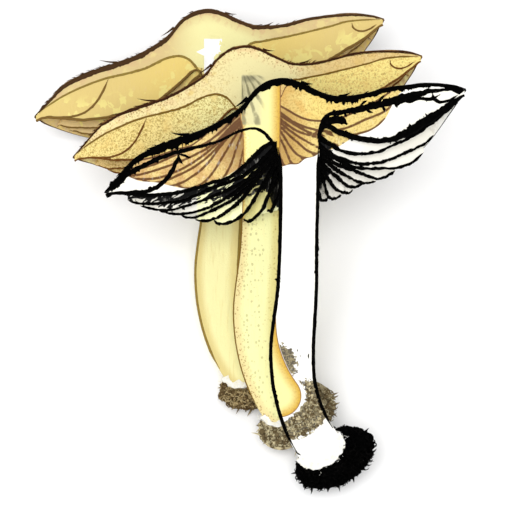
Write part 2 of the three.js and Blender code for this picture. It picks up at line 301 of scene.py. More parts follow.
def along(points, step):
    """Points at even distances along a smooth line through the given ones, with the distances."""
    points = np.asarray(points, float)
    chord = np.concatenate([[0], np.cumsum(np.linalg.norm(np.diff(points, axis=0), axis=1))])
    at = np.linspace(0, chord[-1], max(3, math.ceil(chord[-1] / step) + 1))
    curves = [smooth(np.column_stack([chord, column])) for column in points.T]
    return np.stack([curve(at) for curve in curves], -1), at


STROKE_HEIGHT = 0.14
STROKE_DEPTH = 0.5
STROKE_STEP = 0.2
THINNEST_STROKE = 0.02


def stroke(shape, line, half_width, slot, rag=0.0, seed=0):
    """A low raised stroke along a line on the cut face; rag roughens its two sides."""
    line, at = along(line, STROKE_STEP)
    line = stacked(*line.T, 0.0)
    tangent = np.gradient(line, axis=0)
    side = unit(stacked(-tangent[:, 1], tangent[:, 0], 0.0))
    half_width = half_width(line[:, 0], at / at[-1])
    widths = [half_width * (1 + rag * ragged(at, seed + shift)) for shift in (10, 20)]
    left, right = [np.maximum(width, THINNEST_STROKE)[:, None] * side for width in widths]
    up, down = np.array([0, 0, STROKE_HEIGHT]), np.array([0, 0, -STROKE_DEPTH])
    rings = [line + left + down, line + left, line + left * 0.6 + up]
    rings += [line - right * 0.6 + up, line - right, line - right + down]
    shape.loft(np.stack(rings, 1), slot)


def tube(shape, line, radius, helper, slot, sides=8, note=(0, 0, 0)):
    """A round body along a line; helper is any direction that the line doesn't follow."""
    tangent = unit(np.gradient(line, axis=0))
    across = unit(np.cross(tangent, helper))
    other = np.cross(across, tangent)
    angle = (np.arange(sides) * 2 * pi / sides)[:, None]
    ring = across[:, None] * np.cos(angle) + other[:, None] * np.sin(angle)
    shape.loft(line[:, None] + radius[:, None, None] * ring, slot, note)


def strand(shape, points, radius, slot, sides=6, step=0.3, note=(0, 0, 0)):
    """A thin round strand; radius is a function of the share of its length."""
    line, at = along(points, step)
    upright = abs(unit(line[1] - line[0])[2]) >= 0.8
    helper = np.array([1.0, 0, 0] if upright else [0, 0, 1.0])
    tube(shape, line, np.maximum(radius(at / at[-1]), 0.015), helper, slot, sides, note)


def spike(radius):
    """A strand's radius where it shrinks to a point."""
    return lambda share: radius * (1 - share) ** 0.8


def bow(radius):
    """A strand's radius where it is thickest halfway."""
    return lambda share: radius * np.sin(pi * (0.1 + 0.8 * share))


def placement(form):
    """From a half's own frame in millimetres to the object's frame in metres."""
    foot = Vector((STEM_FOOT[0], STEM_FOOT[1] * form["stretch"], 0))
    lean = Matrix.Rotation(math.radians(LEAN), 4, "X")
    fan = Matrix.Rotation(math.radians(form["fan"]), 4, "X")
    half = Matrix.Translation(form["foot"]) @ fan @ Matrix.Scale(form["size"], 4)
    sheaf = Matrix.Scale(0.001, 4) @ Matrix.Translation(SHEAF_PLACE) @ lean
    return sheaf @ half @ Matrix.Translation(-foot)


def stretched(form, y):
    """Moves a place on the stem or foot down where this stem is longer than the drawn one."""
    y = np.asarray(y, float)
    return np.where(y < STRETCH_BELOW, y * form["stretch"], y)


def seen_height(form, y, z):
    """The y on the cut face at which a place behind it is seen."""
    return y - z * math.tan(math.radians(form["fan"]))


# Where the drawing of the middle half shows through the front one: the middle's (x, y) are the
# front's with this shift, divided by this scale, and the back's are those with the far shift.
# The middle's lower outline is under the lobes of its gills.
SEEN_SHIFT = (9.14, -7.78)
SEEN_SCALE = 0.967
FAR_SHIFT = (18.37, -17.12)
SEEN_STEP = 0.15
SHOWS_MIDDLE = ("front_flesh", "front_gills")
LOBES_LEFT = [
    (-47.1, -14.4), (-42.5, -16.5), (-39.5, -17.7), (-35, -18.5), (-30.7, -20.2), (-26, -20.7),
    (-22.7, -21.5), (-18.5, -22.2), (-14, -21.2), (-9.2, -19.2), (-5, -16.5),
]
LOBES_RIGHT = [
    (5.1, -16.6), (6.8, -16.1), (9.2, -15.9), (10.7, -14.7), (13.1, -14), (15, -12.8),
    (18.6, -11.8), (21, -10.3), (23.2, -8.9), (27.3, -7.4), (30.7, -4.5), (33.3, 0.7),
    (35.7, 3.7), (38, 9), (39.9, 13),
]


def seen_lines():
    """The lines between the middle half's gills as close points, in a tree to search."""
    lines = []
    for sign, fan in ((1, FAN_RIGHT), (-1, FAN_LEFT)):
        for line in fan:
            x = np.arange(line[0][0], line[-1][0], SEEN_STEP)
            lines.append(stacked(sign * x, smooth(line)(x), 0.0))
    for line in SHORT_GILLS:
        points, _ = along(line, SEEN_STEP)
        lines.append(stacked(*points.T, 0.0))
    spots = np.concatenate(lines)
    tree = KDTree(len(spots))
    for i, spot in enumerate(spots):
        tree.insert(spot, i)
    tree.balance()
    return tree


def stem_depth(form, places):
    """How far inside the stem's outline each place is, and how far right of its middle."""
    centre, _, width = stem_line(form)
    above = [(0, height) for height in range(12, -3, -1)]
    centre = np.concatenate([above, centre[::3]])
    width = np.concatenate([np.full(len(above), POST_RIGHT), width[::3]])
    offset = places[:, None, :2] - centre
    distance = np.hypot(offset[..., 0], offset[..., 1])
    side = offset[np.arange(len(places)), np.argmin(distance, axis=1), 0]
    return np.max(width - distance, axis=1), side


def clod_depth(form, places):
    """How far inside the outline of the soil each place on the cut face is."""
    centre, long_way, short_way = soil_frame(form)
    u, v = (places - centre) @ long_way, (places - centre) @ short_way
    return (1 - np.hypot(u / SOIL_HALF_LENGTH, v / SOIL_HALF_HEIGHT)) * SOIL_HALF_HEIGHT


def seen_fields(form, points):
    """Distances, in millimetres, from each point to the middle half's edges seen behind it."""
    middle = FORMS["middle"]
    seen = stacked(points[:, 0], seen_height(form, points[:, 1], points[:, 2]), 0.0)
    places = (seen + (*SEEN_SHIFT, 0)) / SEEN_SCALE
    far_places = (seen + (*FAR_SHIFT, 0)) / SEEN_SCALE
    x, y = places[:, 0], places[:, 1]
    turn = np.where(x < 0, pi, 0.0)
    reach = np.clip(np.abs(x) / plan_radius(turn), 0.12, 1)
    gill_line = under_height(middle, turn, reach)
    left_edge = gill_line - blended(GILL, turn, reach)
    first_edge = np.where(x < 0, left_edge, smooth(FAN_RIGHT[0])(x))
    low = np.where(x < 0, smooth(LOBES_LEFT)(x), smooth(LOBES_RIGHT)(x))
    stem, side = stem_depth(middle, places)
    inside = np.maximum(np.where(np.abs(x) > 4.4, y - low, -9), stem)
    tree = seen_lines()
    line = np.array([tree.find(place)[2] for place in places])
    soil = np.minimum(clod_depth(middle, places), -6 * in_foot(places, foot_frame(middle), 0))
    return {
        "seen": stacked(inside, y - gill_line, y - first_edge),
        "seen_more": stacked(line, stem, soil),
        "seen_rest": stacked(side, clod_depth(middle, far_places), 0.0),
    }


def clean(mesh):
    """Joins points that meet, drops faces without area and turns the rest outwards."""
    work = bmesh.new()
    work.from_mesh(mesh)
    bmesh.ops.remove_doubles(work, verts=work.verts, dist=2e-6)
    bmesh.ops.dissolve_degenerate(work, edges=work.edges, dist=1e-7)
    bmesh.ops.recalc_face_normals(work, faces=work.faces)
    work.to_mesh(mesh)
    work.free()


def make_piece(name, form, shape, materials, replaced):
    """Turns a shape into a finished object on the floor, in the object's frame."""
    local = np.concatenate(shape.points)
    matrix = np.array(placement(form))
    world = local @ matrix[:3, :3].T + matrix[:3, 3]
    world[:, 2] = np.maximum(world[:, 2], 0)
    mesh = bpy.data.meshes.new(name)
    mesh.from_pydata(world.tolist(), [], shape.faces)
    mesh.polygons.foreach_set("material_index", shape.slots)
    fields = {"place": local, "note": np.concatenate(shape.notes)}
    if name in SHOWS_MIDDLE:
        fields.update(seen_fields(form, local))
    for label, values in fields.items():
        attribute = mesh.attributes.new(label, "FLOAT_VECTOR", "POINT")
        attribute.data.foreach_set("vector", values.astype(np.float32).ravel())
    clean(mesh)
    mesh.polygons.foreach_set("use_smooth", [True] * len(mesh.polygons))
    mesh.set_sharp_from_angle(angle=math.radians(40))
    for material in materials:
        mesh.materials.append(material)
    piece = bpy.data.objects.new(name, mesh)
    bpy.context.scene.collection.objects.link(piece)
    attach(piece, "root")
    if replaced:
        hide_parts(*replaced)


# Flesh: cap and stem grown as one

INNER_STEPS = 14
OUTER_STEPS = 90
STEM_STEPS = 150
COLLAR_STEPS = 6
FLESH_REACH = 0.992
OUTLINE_SHARE = 0.97
FAR = 99

# The notes of the flesh are the depth below the skin, which is FAR on the stem, the share across
# the stem, and how far inside the painted black shadow or in from the stem's side a place is.


def stem_line(form):
    """Centre, across direction and half width at each station down the stem."""
    points = [(x, float(stretched(form, y))) for x, y in STEM_LINE]
    line, at = along(points, 0.02)
    station = np.linspace(0, 1, STEM_STEPS)
    centre = np.stack([np.interp(station, at / at[-1], column) for column in line.T], -1)
    tangent = np.gradient(centre, axis=0)
    across = unit(stacked(-tangent[:, 1], tangent[:, 0]))
    across[0] = (1, 0)
    flare = (POST_LEFT - POST_RIGHT) / 2 * np.exp(-at[-1] * station / 2.6)
    centre[:, 0] -= flare
    return centre, across, HALF_WIDTH(station) + flare


def foot_end(form):
    """Stations round the end of the foot, as centre, across and half width."""
    centre, across, width = stem_line(form)
    down = np.array([across[-1][1], -across[-1][0]])
    angles = np.radians([12, 25, 38, 50, 62, 72, 81, 87, 90])
    centres = centre[-1] + FOOT_END_BULGE * np.sin(angles)[:, None] * down
    return centres, np.tile(across[-1], (len(angles), 1)), width[-1] * np.cos(angles)


def stem_stations(form):
    return [np.concatenate(pair) for pair in zip(stem_line(form), foot_end(form))]


def stem_note(share, width):
    """The notes on rows of points across the stem, from their half widths."""
    return stacked(FAR, share, (1 - np.abs(share)) * width[:, None])


def flesh_surface(form, shape):
    """The round outside of the flesh: top of the cap, underside, stem and foot."""
    turn = np.linspace(0, pi, TURN_STEPS + 1)
    post = reach_of_post(turn)
    inner = np.linspace(0, 1, INNER_STEPS + 1)[:, None] * post
    outer = lerp(post, FLESH_REACH, np.linspace(0, 1, OUTER_STEPS + 1)[:, None])
    reach = np.concatenate([inner, outer[1:]])
    inset = SKIN_INSET * steepness(turn, reach) * np.minimum(1, (1 - reach) * 12)
    above = cap_point(turn, reach, top_height(form, turn, reach) - inset)
    shape.grid(above, 0, (0.3, 0, FAR))
    below = cap_point(turn, outer, under_height(form, turn, outer))
    below = np.concatenate([above[-1:], below[::-1]])
    # painted shadow: how far inside the black shadow under the cap each place is
    shadow_inset = shadow_depth(below[..., 0], seen_height(form, below[..., 1], below[..., 2]))
    shape.grid(below, 1, stacked(3.0, 0.0, shadow_inset))
    centre, across, width = stem_stations(form)
    plan = np.arctan2(REAR_SQUASH * np.sin(turn), np.cos(turn))
    side = np.cos(plan)[:, None] * (across * width[:, None])[:, None]
    depth = -width[:, None, None] * np.sin(plan)[:, None]
    rings = np.concatenate([centre[:, None] + side, depth], -1)
    fibres = 0.05 * lumps(stacked(plan * 14, centre[:, 1:] * 0.12, 0.0), 1, form["seed"])
    away = stacked(np.cos(plan), 0.0, -np.sin(plan))
    rings = rings + away * (fibres * np.sin(plan))[..., None]
    collar = lerp(below[-1], rings[0], np.linspace(0, 1, COLLAR_STEPS + 1)[:, None, None])
    for part, half in ((collar, np.full(len(collar), width[0])), (rings, width)):
        shape.grid(part, 0, stem_note(np.cos(plan), half))


def pith_dent(x, y):
    """The soft hollow at the top of the stem: how far the cut face sinks there."""
    inside = np.clip(1 - ((x + 2.3) / 2.9) ** 2 - ((y - 0.2) / 6.4) ** 2, 0, 1)
    folds = 0.5 + 0.5 * np.sin(21 * np.arctan2(x + 4.6, 6.5 - y))
    return -inside**0.5 * (0.25 + 0.35 * folds)


def sink_pith(rows):
    """Sinks the points of a flat sheet where the pith is soft, but not those on its rim."""
    rows[1:-1, 1:-1, 2] += pith_dent(rows[..., 0], rows[..., 1])[1:-1, 1:-1]


def cut_face(form, shape):
    """The flat cut through the flesh, in the same columns as the outside."""
    inner = np.linspace(0, 1, INNER_STEPS + 1)
    outer = np.linspace(0, 1, OUTER_STEPS + 1)
    sides = []
    for turn, order in ((pi, slice(None, None, -1)), (0.0, slice(1, None))):
        post = reach_of_post(turn)
        reach = np.concatenate([inner * post, lerp(post, FLESH_REACH, outer[1:])])
        inset = SKIN_INSET * np.minimum(1, (1 - reach) * 12)
        top = top_height(form, turn, reach) - inset
        low = under_height(form, turn, np.maximum(reach, post))
        x = reach * plan_radius(turn) * math.cos(turn)
        sides.append([x[order], top[order], low[order]])
    x, top, low = [np.concatenate(pair) for pair in zip(*sides)]
    middle = slice(OUTER_STEPS, OUTER_STEPS + 2 * INNER_STEPS + 1)
    low[middle] = np.interp(x[middle], x[middle][[0, -1]], low[middle][[0, -1]])
    low[[0, -1]] = top[[0, -1]]
    y = lerp(top, low, np.linspace(0, 1, 40)[:, None])
    rows = stacked(x, y, 0.0)
    sink_pith(rows)
    shape.grid(rows, 0, stacked(top - y + SKIN_INSET, 0.0, FAR))
    centre, across, width = stem_stations(form)
    share = 2 * (x[middle] - x[middle][0]) / (x[middle][-1] - x[middle][0]) - 1
    flat = centre[:, None] + share[:, None] * (across * width[:, None])[:, None]
    stem = stacked(flat[..., 0], flat[..., 1], 0.0)
    collar = lerp(rows[-1][middle], stem[0], np.linspace(0, 1, COLLAR_STEPS + 1)[:, None, None])
    for part, half in ((collar, np.full(len(collar), width[0])), (stem, width)):
        sink_pith(part)
        shape.grid(part, 0, stem_note(share, half))


def stem_outline(form, side):
    """Points down one side of the stem, down to where the felt hides it."""
    centre, across, width = stem_line(form)
    edge = centre + side * across * (width - form["stem_line"] * 0.5)[:, None]
    return [tuple(point) for point in edge[:int(OUTLINE_SHARE * STEM_STEPS):6]]


def under_outline(form, turn, near, far):
    """Points along the line where the gills meet the flesh, on the cut face."""
    distance = np.arange(near, far, 1.5)
    height = under_height(form, turn, distance / plan_radius(turn))
    return list(zip(distance * math.cos(turn), height))


def tapered(widths, ends=12):
    """Half width along a stroke, from (x, half width) points, narrowing at both ends."""
    width = smooth(widths)
    return lambda x, share: width(x) * np.clip(np.minimum(share, 1 - share) * ends, 0.25, 1)


def flesh_lines(form, shape):
    """The dark lines that edge the gills' roots and the sides of the stem."""
    seed, rag = form["seed"], form["line_rag"]
    left = under_outline(form, pi, 8.5, 46.8)[::-1] + [(-7.5, -1.1), (-6.4, -2.6), (-5.6, -5)]
    right = [(4.7, -4), (4.8, 0.6)] + under_outline(form, 0.0, 6, 39.6)
    stroke(shape, left, tapered(form["line"]), 2, rag, seed + 20)
    stroke(shape, right, tapered(form["line"]), 2, rag, seed + 40)
    stem_width = tapered(even(form["stem_line"]), 16)
    stroke(shape, stem_outline(form, -1), stem_width, 2, rag * 0.35, seed + 60)
    stroke(shape, stem_outline(form, 1), stem_width, 2, rag * 0.35, seed + 80)
    if form["inked"]:
        for line, half_width in FRONT_INK:
            stroke(shape, line, tapered(even(half_width), 5), 2, 0.3, seed + 90)


# Solid black patches of the front half: a line through each and its half width
FRONT_INK = [
    ([(-46.2, -13.9), (-45, -12.9), (-43.6, -11.8), (-42.4, -10.6)], 1.0),
    ([(5.3, 1.2), (6.6, 2.6), (8.6, 3.2), (10.4, 2.9), (11.4, 2.1)], 1.0),
    ([(-29.2, -5.2), (-28.2, -5.4), (-26.3, -6.2)], 0.3),
    ([(-29.4, -5.2), (-29.0, -6.6), (-28.3, -7.6)], 0.35),
    ([(24.6, 7.9), (26.2, 7.6), (28.5, 8.4), (31.5, 8.3), (33.8, 9.4)], 0.42),
    ([(2.3, -54.6), (2.2, -55.2), (2.25, -55.8)], 0.16),
    ([(-5.1, -36.8), (-5.5, -36.3), (-6, -36.1)], 0.26),
    ([(-6.9, -59.4), (-6.6, -60.1), (-6.1, -60.5)], 0.24),
    ([(-6.2, -63.9), (-5.9, -64.9), (-5.4, -65.6)], 0.4),
    ([(-5.6, -66), (-5.35, -66.6), (-5.1, -67.2)], 0.38),
    ([(-1, -78.6), (-0.4, -79.6), (0.4, -80.1)], 0.18),
    ([(4.15, -27.2), (4.4, -28.4), (4.2, -29.4)], 0.34),
    ([(4.1, -33.2), (3.95, -33.9), (3.6, -34.6)], 0.28),
    ([(10.4, 5.6), (10.9, 4.6), (11.2, 3.9)], 0.3),
    ([(12.2, 6), (12.9, 5), (13.6, 4.6)], 0.3),
    ([(15.6, 6.4), (16.6, 5.3), (17.6, 5)], 0.32),
    ([(18.6, 7.2), (19.6, 8.4), (20.3, 9.3)], 0.34),
    ([(19.3, 7), (20.1, 6.2), (20.4, 5.2)], 0.34),
    ([(22.6, 7.8), (23.2, 6.8), (23.4, 6.2)], 0.36),
    ([(14.4, 6.4), (15.4, 7.5), (16.2, 7.9)], 0.3),
]


def make_flesh(name, form, materials):
    shape = Shape()
    flesh_surface(form, shape)
    cut_face(form, shape)
    flesh_lines(form, shape)
    replaced = [f"{name}_cap", f"{name}_stem"]
    make_piece(f"{name}_flesh", form, shape, materials, replaced)


# Cuticle: the dark skin over the cap, with its ragged cut edge and hairs

SKIN_ROWS = 91
SKIN_LIFT = 0.17
SKIN_DEPTH = 0.55
EDGE_STEP = 0.11
LIFTED_FIBRES = 260

# Spurs of loose skin beside the cut: base and tip
SPURS = [
    ((-26.6, -0.5), (-31.3, 0.1)), ((-28.4, -1.1), (-32.0, -1.9)),
    ((-32.4, -2.5), (-37.2, -4.0)), ((-12.6, 8.6), (-15.9, 6.2)), ((0.2, 12.4), (3.2, 12.0)),
    ((9.4, 8.8), (12.4, 10)),
]


def cuticle_dome(form, shape):
    """The skin all round the cap, with fine radial fibres that fade out at the margin."""
    turn = np.linspace(0, pi, TURN_STEPS * 2 + 1)
    reach = np.linspace(0, 1, SKIN_ROWS)[:, None] ** 0.85
    height = top_height(form, turn, reach)
    steep = steepness(turn, reach)
    fibre = lumps(stacked(turn * 26, reach * 5, 0.0), 1, form["seed"])
    fine = lumps(stacked(turn * 70, reach * 11, 0.0), 1, form["seed"] + 1)
    fade = np.minimum(1, reach * 3) * np.minimum(1, (1 - reach) * 7)
    relief = (0.22 * fibre + 0.16 * fine) * fade
    outside = cap_point(turn, reach, height + (relief * 0.8 + SKIN_LIFT) * steep)
    margin = reach[-1:]
    rim = cap_point(turn, margin * 1.004, top_height(form, turn, margin) - 0.3)
    thick = SKIN_DEPTH * steep * np.minimum(1, (1 - reach) * 8 + 0.3)
    inside = cap_point(turn, reach, height - thick)
    rows = np.concatenate([outside, rim, inside[::-1]])
    shape.loft(np.swapaxes(rows, 0, 1), 0)


def cuticle_edge(form, shape):
    """The cut edge of the skin: a band with a rough lower side."""
    x = np.arange(-LEFT_REACH, RIGHT_REACH, EDGE_STEP)
    turn = np.where(x < 0, pi, 0.0)
    seed = form["seed"]
    top = top_height(form, turn, np.abs(x) / plan_radius(turn))
    top = top + 0.06 * wander(x, 0.5, seed + 3) + 0.1 * wander(x, 2, seed + 4)
    rough = 1 + form["skin_rag"] * (ragged(x, seed + 5) + 0.6 * ragged(x, seed + 30, 1.4))
    thick = smooth(form["skin"])(x) * np.maximum(rough, 0.35)
    for from_end in (RIGHT_REACH - x, x + LEFT_REACH):
        thick = thick * np.clip(from_end / 1.5, 0.1, 1)
    low = top - thick
    inset = np.minimum(0.12, thick * 0.25)
    layers = [(top, -0.7), (top, 0.02), (top - inset, 0.2)]
    layers += [(low + inset, 0.2), (low, 0.02), (low, -0.7)]
    shape.loft(np.stack([stacked(x, y, z) for y, z in layers], 1), 1)


def cuticle_spurs(form, shape):
    for base, tip in SPURS:
        base, tip = np.array([*base, -0.1]), np.array([*tip, 0.0])
        bend = lerp(base, tip, 0.5) + np.array([0, -0.15, 0])
        strand(shape, [base, bend, tip], spike(0.5 if form["inked"] else 0.3), 1)


def cuticle_hairs(form, shape):
    """Short hairs along the cut edge, and lifted fibres over the whole cap."""
    rng = np.random.default_rng(form["seed"])
    for x in -45 + 62 * rng.random(form["edge_hairs"]) ** 1.4:
        turn = pi if x < 0 else 0.0
        x = x + np.array([0, 0.5, 1.0]) * rng.uniform(0.6, 1.5) * np.sign(x)
        reach = np.minimum(np.abs(x) / plan_radius(turn), 1)
        lift = np.array([-0.1, 0.3, 0.45]) * rng.uniform(0.5, 1.6)
        radius = rng.uniform(0.1, 0.2)
        points = stacked(x, top_height(form, turn, reach) + lift, rng.uniform(-0.5, 0.1))
        strand(shape, points, spike(radius), 1, sides=5)
    for _ in range(LIFTED_FIBRES):
        turn = rng.uniform(0.02, pi - 0.02)
        reach = rng.uniform(0.12, 0.96)
        length = rng.uniform(1.2, 3.2)
        shares = np.array([0, 0.5, 1.0])
        turns = turn + shares * rng.uniform(-0.02, 0.02)
        reaches = np.minimum(reach + shares * length / plan_radius(turn), 0.995)
        lift = np.array([0, 0.32, 0.42]) * rng.uniform(0.5, 1.3)
        points = cap_point(turns, reaches, top_height(form, turns, reaches) + lift)
        radius = rng.uniform(0.05, 0.1)
        strand(shape, points, lambda share: radius * (1 - 0.8 * share), 0, sides=4, step=0.6)


def make_cuticle(name, form, materials):
    shape = Shape()
    cuticle_dome(form, shape)
    cuticle_edge(form, shape)
    cuticle_spurs(form, shape)
    cuticle_hairs(form, shape)
    slot = f"{name}_cuticle"
    make_piece(f"{name}_skin", form, shape, materials, [slot])


# Gills: leaf-like plates round the underside

PLATE_ROWS = 11
CUT_PLATE_ROWS = 30
PLATE_STEP = 0.3
MARGIN_REACH = 0.985
CUT_PLATE_DEPTH = 0.55
THINNEST_RIB = 0.03
RIB_HELPER = np.array([0.3, 0.9, 0.3])
# gills on the cut face stay outside the painted black shadow
NO_SHADOW = -9

# Short gills on the cut face
SHORT_GILLS = [
    [(-28.9, -4.9), (-30.2, -8), (-32.0, -11), (-34.5, -13.3), (-37.9, -14.5), (-42.2, -14.5)],
    [(31.9, 9.7), (32.2, 8.6), (33.2, 7.8), (34.5, 7.6), (36.2, 8.1), (38, 9.3)],
]

# Free edges of the gills behind the cut, as (x, y) on the cut face where they are seen,
# each from the stem to the margin, and from the cut face backwards
FAN_RIGHT = [
    [(3.6, -0.4), (5, -1.4), (6.5, -2.2), (9.2, -3.8), (11.3, -4.6), (13.2, -4.9), (17.5, -4.8),
     (19.9, -4.1), (22.8, -2.8), (27.9, -0.3), (32.5, 2.9), (36.5, 6.3), (37.6, 7.8)],
    [(3.4, -1.8), (5.3, -3.4), (7.8, -5.2), (10.5, -6.4), (13.2, -7.2), (15, -7.5), (19.6, -7.1),
     (21.8, -6.5), (25.2, -4.9), (29.3, -3.2), (31.1, -2.2), (33.2, -0.1)],
    [(3.2, -2.6), (5.2, -4), (9.2, -6.5), (11.3, -7.7), (13.7, -8.4), (18.5, -8.5), (23.4, -8.4),
     (25.2, -7.9), (27.1, -7.3), (28.7, -6.3), (30.7, -4.4)],
    [(3, -3.2), (5.2, -5), (8.9, -7.6), (13.2, -9), (15.3, -9.9), (17.5, -10.6), (19.1, -11),
     (20.7, -10.6), (22.3, -9.8), (23.8, -8.8)],
    [(2.9, -3.8), (5.1, -5.9), (7.8, -8), (10, -9.5), (12.1, -10.7), (13.7, -11.5), (15.6, -12),
     (17, -12), (19, -11.4)],
    [(2.8, -4.4), (5, -6.8), (7, -8.8), (9.2, -10.7), (11, -12.3), (12.9, -13.1), (14.5, -12.9),
     (15.9, -12.2)],
    [(2.6, -5), (4.9, -8), (6.5, -10.6), (7.8, -12.5), (9.4, -13.9), (10.8, -14.4), (12.4, -14.3),
     (13.4, -13.5)],
    [(2.2, -5.8), (4.4, -9.2), (5.8, -12), (6.5, -13.8), (7.2, -15.4), (8, -16), (9.2, -15.8),
     (10.4, -14.8)],
    [(1.6, -7), (3.4, -11), (4.6, -14), (5.3, -16), (5.9, -16.4), (6.9, -16)],
]
FAN_LEFT = [
    [(3.5, -1.6), (7, -4.5), (10, -7.5), (13.4, -10.2), (16.6, -11.8), (21.1, -13.4), (25.4, -15.4),
     (28.4, -16.5), (31.1, -17), (35.3, -17.2), (39.4, -17.2), (42.6, -16.3)],
    [(3.4, -2.6), (7.5, -6.2), (10.5, -9.4), (13.5, -11.8), (16.6, -13.5), (19.5, -14.9), (22.5, -16.1),
     (25.4, -17.1), (28.5, -18.1), (31, -18.7), (33.7, -18.8), (35.5, -18.6), (39.6, -17.6)],
    [(3.3, -3.2), (7.3, -6.8), (10, -9.6), (13, -12.4), (16.1, -14.8), (19.3, -16.8), (21.4, -17.8),
     (23.3, -18.7), (25.4, -19.3), (27.8, -19.7), (31.1, -19.7), (33.2, -19.4), (35.3, -18.7)],
    [(3.2, -3.8), (7, -7.2), (9.5, -9.8), (12, -12.6), (14.5, -14.9), (17, -16.7), (19.3, -18),
     (21.4, -19), (23, -19.7), (25.1, -20.4), (26.8, -20.7), (28.4, -20.6), (29.6, -20.1)],
    [(3, -4.2), (6, -6.4), (8.2, -8.8), (10, -11), (11.2, -12.6), (12.5, -14.5), (14.1, -16.3),
     (15.5, -17.7), (17.5, -19.1), (19.1, -20.2), (21, -21), (22.6, -21.5), (24.2, -21.5), (25.9, -21)],
    [(2.8, -4.6), (5.4, -6.8), (7, -9.4), (8.9, -12.6), (10.3, -14.9), (11.6, -17.1), (12.8, -18.8),
     (14.6, -20.6), (16.9, -21.8), (18.5, -22.1), (19.8, -22), (21.2, -21.2)],
    [(2.5, -5), (4.8, -8), (5.9, -10.5), (6.6, -12.5), (7.3, -14.9), (8.3, -17.2), (9.3, -19),
     (10.3, -20.2), (11.5, -21.1), (12.6, -21.5), (14, -21)],
    [(1.8, -6), (3.6, -9.6), (4.8, -13), (5.5, -16), (6.1, -17.9), (6.8, -18.9), (7.8, -18.6)],
]

# How far down the painted black shadow in the front half's hollow reaches: (x, y) on the left,
# (y, x) on the right
SHADOW_LEFT = [
    (-46, -15.2), (-42, -16.3), (-38, -17.2), (-34, -18.3), (-30, -18.4), (-26, -17),
    (-22, -16.6), (-19, -16.4), (-16, -15.8), (-13, -15.2), (-10, -14.6), (-8, -14.4),
    (-7, -15.6), (-6, -17.6), (-4, -19),
]
SHADOW_RIGHT = [
    (-17, 4.9), (-15, 5.1), (-13.2, 5.4), (-11.4, 5.9), (-10.2, 6.6), (-9, 7.8), (-8, 7.3),
    (-6.6, 6.9), (-5.4, 7.6), (-4, 8), (-2, 6.4), (-1, 5.3), (0, 5),
]


def shadow_depth(x, y):
    """How far inside the painted black shadow a place is, in millimetres; negative is outside."""
    return np.where(x < 0, y - smooth(SHADOW_LEFT)(x), smooth(SHADOW_RIGHT)(y) - x)


def turn_of_end(x):
    """The turn at which the margin is seen at this x."""
    middle, change = (RIGHT_REACH + LEFT_REACH) / 2, (LEFT_REACH - RIGHT_REACH) / 2
    return math.acos((middle - math.sqrt(middle**2 - 4 * change * x)) / (2 * change))


def plate_count(turn, start):
    return int((MARGIN_REACH - start) * plan_radius(turn) / PLATE_STEP)


def closed_plate(shape, front_side, rear_side, note):
    """A plate from its two sides, with the same notes on both."""
    sides = np.concatenate([front_side, rear_side[:, ::-1]], 1)
    shape.loft(sides, 0, np.concatenate([note, note[:, ::-1]], 1))


def rear_plate(form, shape, turn, start, edge_line, seed, bead=True):
    """One gill behind the cut; edge_line gives where its free edge is seen, from its x."""
    reach = np.linspace(start, MARGIN_REACH, plate_count(turn, start))
    distance = reach * plan_radius(turn)
    x, z = distance * math.cos(turn), -distance * REAR_SQUASH * math.sin(turn)
    root = under_height(form, turn, reach)
    edge = edge_line(np.abs(x)) - seen_height(form, 0, z)
    edge = edge + 0.1 * wander(distance, 1.4, seed) + 0.05 * wander(distance, 0.5, seed + 1)
    edge = np.minimum(edge, root - 0.25)
    shares = np.linspace(0, 1, PLATE_ROWS)
    rooted = root + 0.3 * np.clip((1 - reach) * 6 - 0.3, 0.02, 1)
    height = lerp(rooted[:, None], edge[:, None], shares)
    middle = cap_point(turn, reach[:, None], height)
    sideways = unit(np.array([REAR_SQUASH * math.sin(turn), 0, math.cos(turn)]))
    wave = 0.3 * wander(distance, 7, seed + 2)[:, None]
    wave = wave + 0.2 * wander(distance, 2.5, seed + 3)[:, None] * shares
    wave = wave * np.clip(shares * 2, 0.2, 1)
    thin = lerp(0.36, 0.16, shares)
    front_side = middle + (wave + thin)[..., None] * sideways
    rear_side = middle + (wave - thin)[..., None] * sideways
    # painted shadow: how far inside the black shadow under the cap each place is
    shadow_inset = shadow_depth(x[:, None], seen_height(form, height, z[:, None]))
    closed_plate(shape, front_side, rear_side, stacked(height - edge[:, None], 0.0, shadow_inset))
    if bead:
        size = form["edge_bead"] * (1 + form["line_rag"] * ragged(distance, seed + 4, 0.5))
        size = size * (1 + 0.8 * np.exp(-(distance - distance[0]) / 9))
        size = np.maximum(size * np.clip((1 - reach) * 20, 0.35, 1), THINNEST_RIB)
        tube(shape, middle[:, -1] + wave[:, -1:] * sideways, size, RIB_HELPER, 1)


def cut_plate(form, shape, turn, first, seed):
    """The first gill, laid flat by the cut from a first distance on, with its drawn edge."""
    start = first / plan_radius(turn)
    reach = np.linspace(start, MARGIN_REACH + 0.008, plate_count(turn, start))
    x = reach * plan_radius(turn) * math.cos(turn)
    root = under_height(form, turn, reach)[:, None]
    edge = root - blended(GILL, turn, reach)[:, None] + 0.12 * wander(x, 1.4, seed)[:, None]
    height = lerp(root + 0.2, edge, np.linspace(0, 1, CUT_PLATE_ROWS))
    front_side = stacked(x[:, None], height, -0.03)
    rear_side = front_side - (0, 0, CUT_PLATE_DEPTH)
    closed_plate(shape, front_side, rear_side, stacked(height - edge, 0.0, NO_SHADOW))
    line = front_side[:, -1]
    thick = smooth(form["edge"])(x) * (1 + 0.5 * form["line_rag"] * wander(x, 1.1, seed + 4))
    tube(shape, line - (0, 0, 0.1), np.maximum(thick, THINNEST_RIB), RIB_HELPER, 1)
    stroke(shape, line[::4, :2], tapered(form["edge"], 16), 1, form["line_rag"], seed + 6)


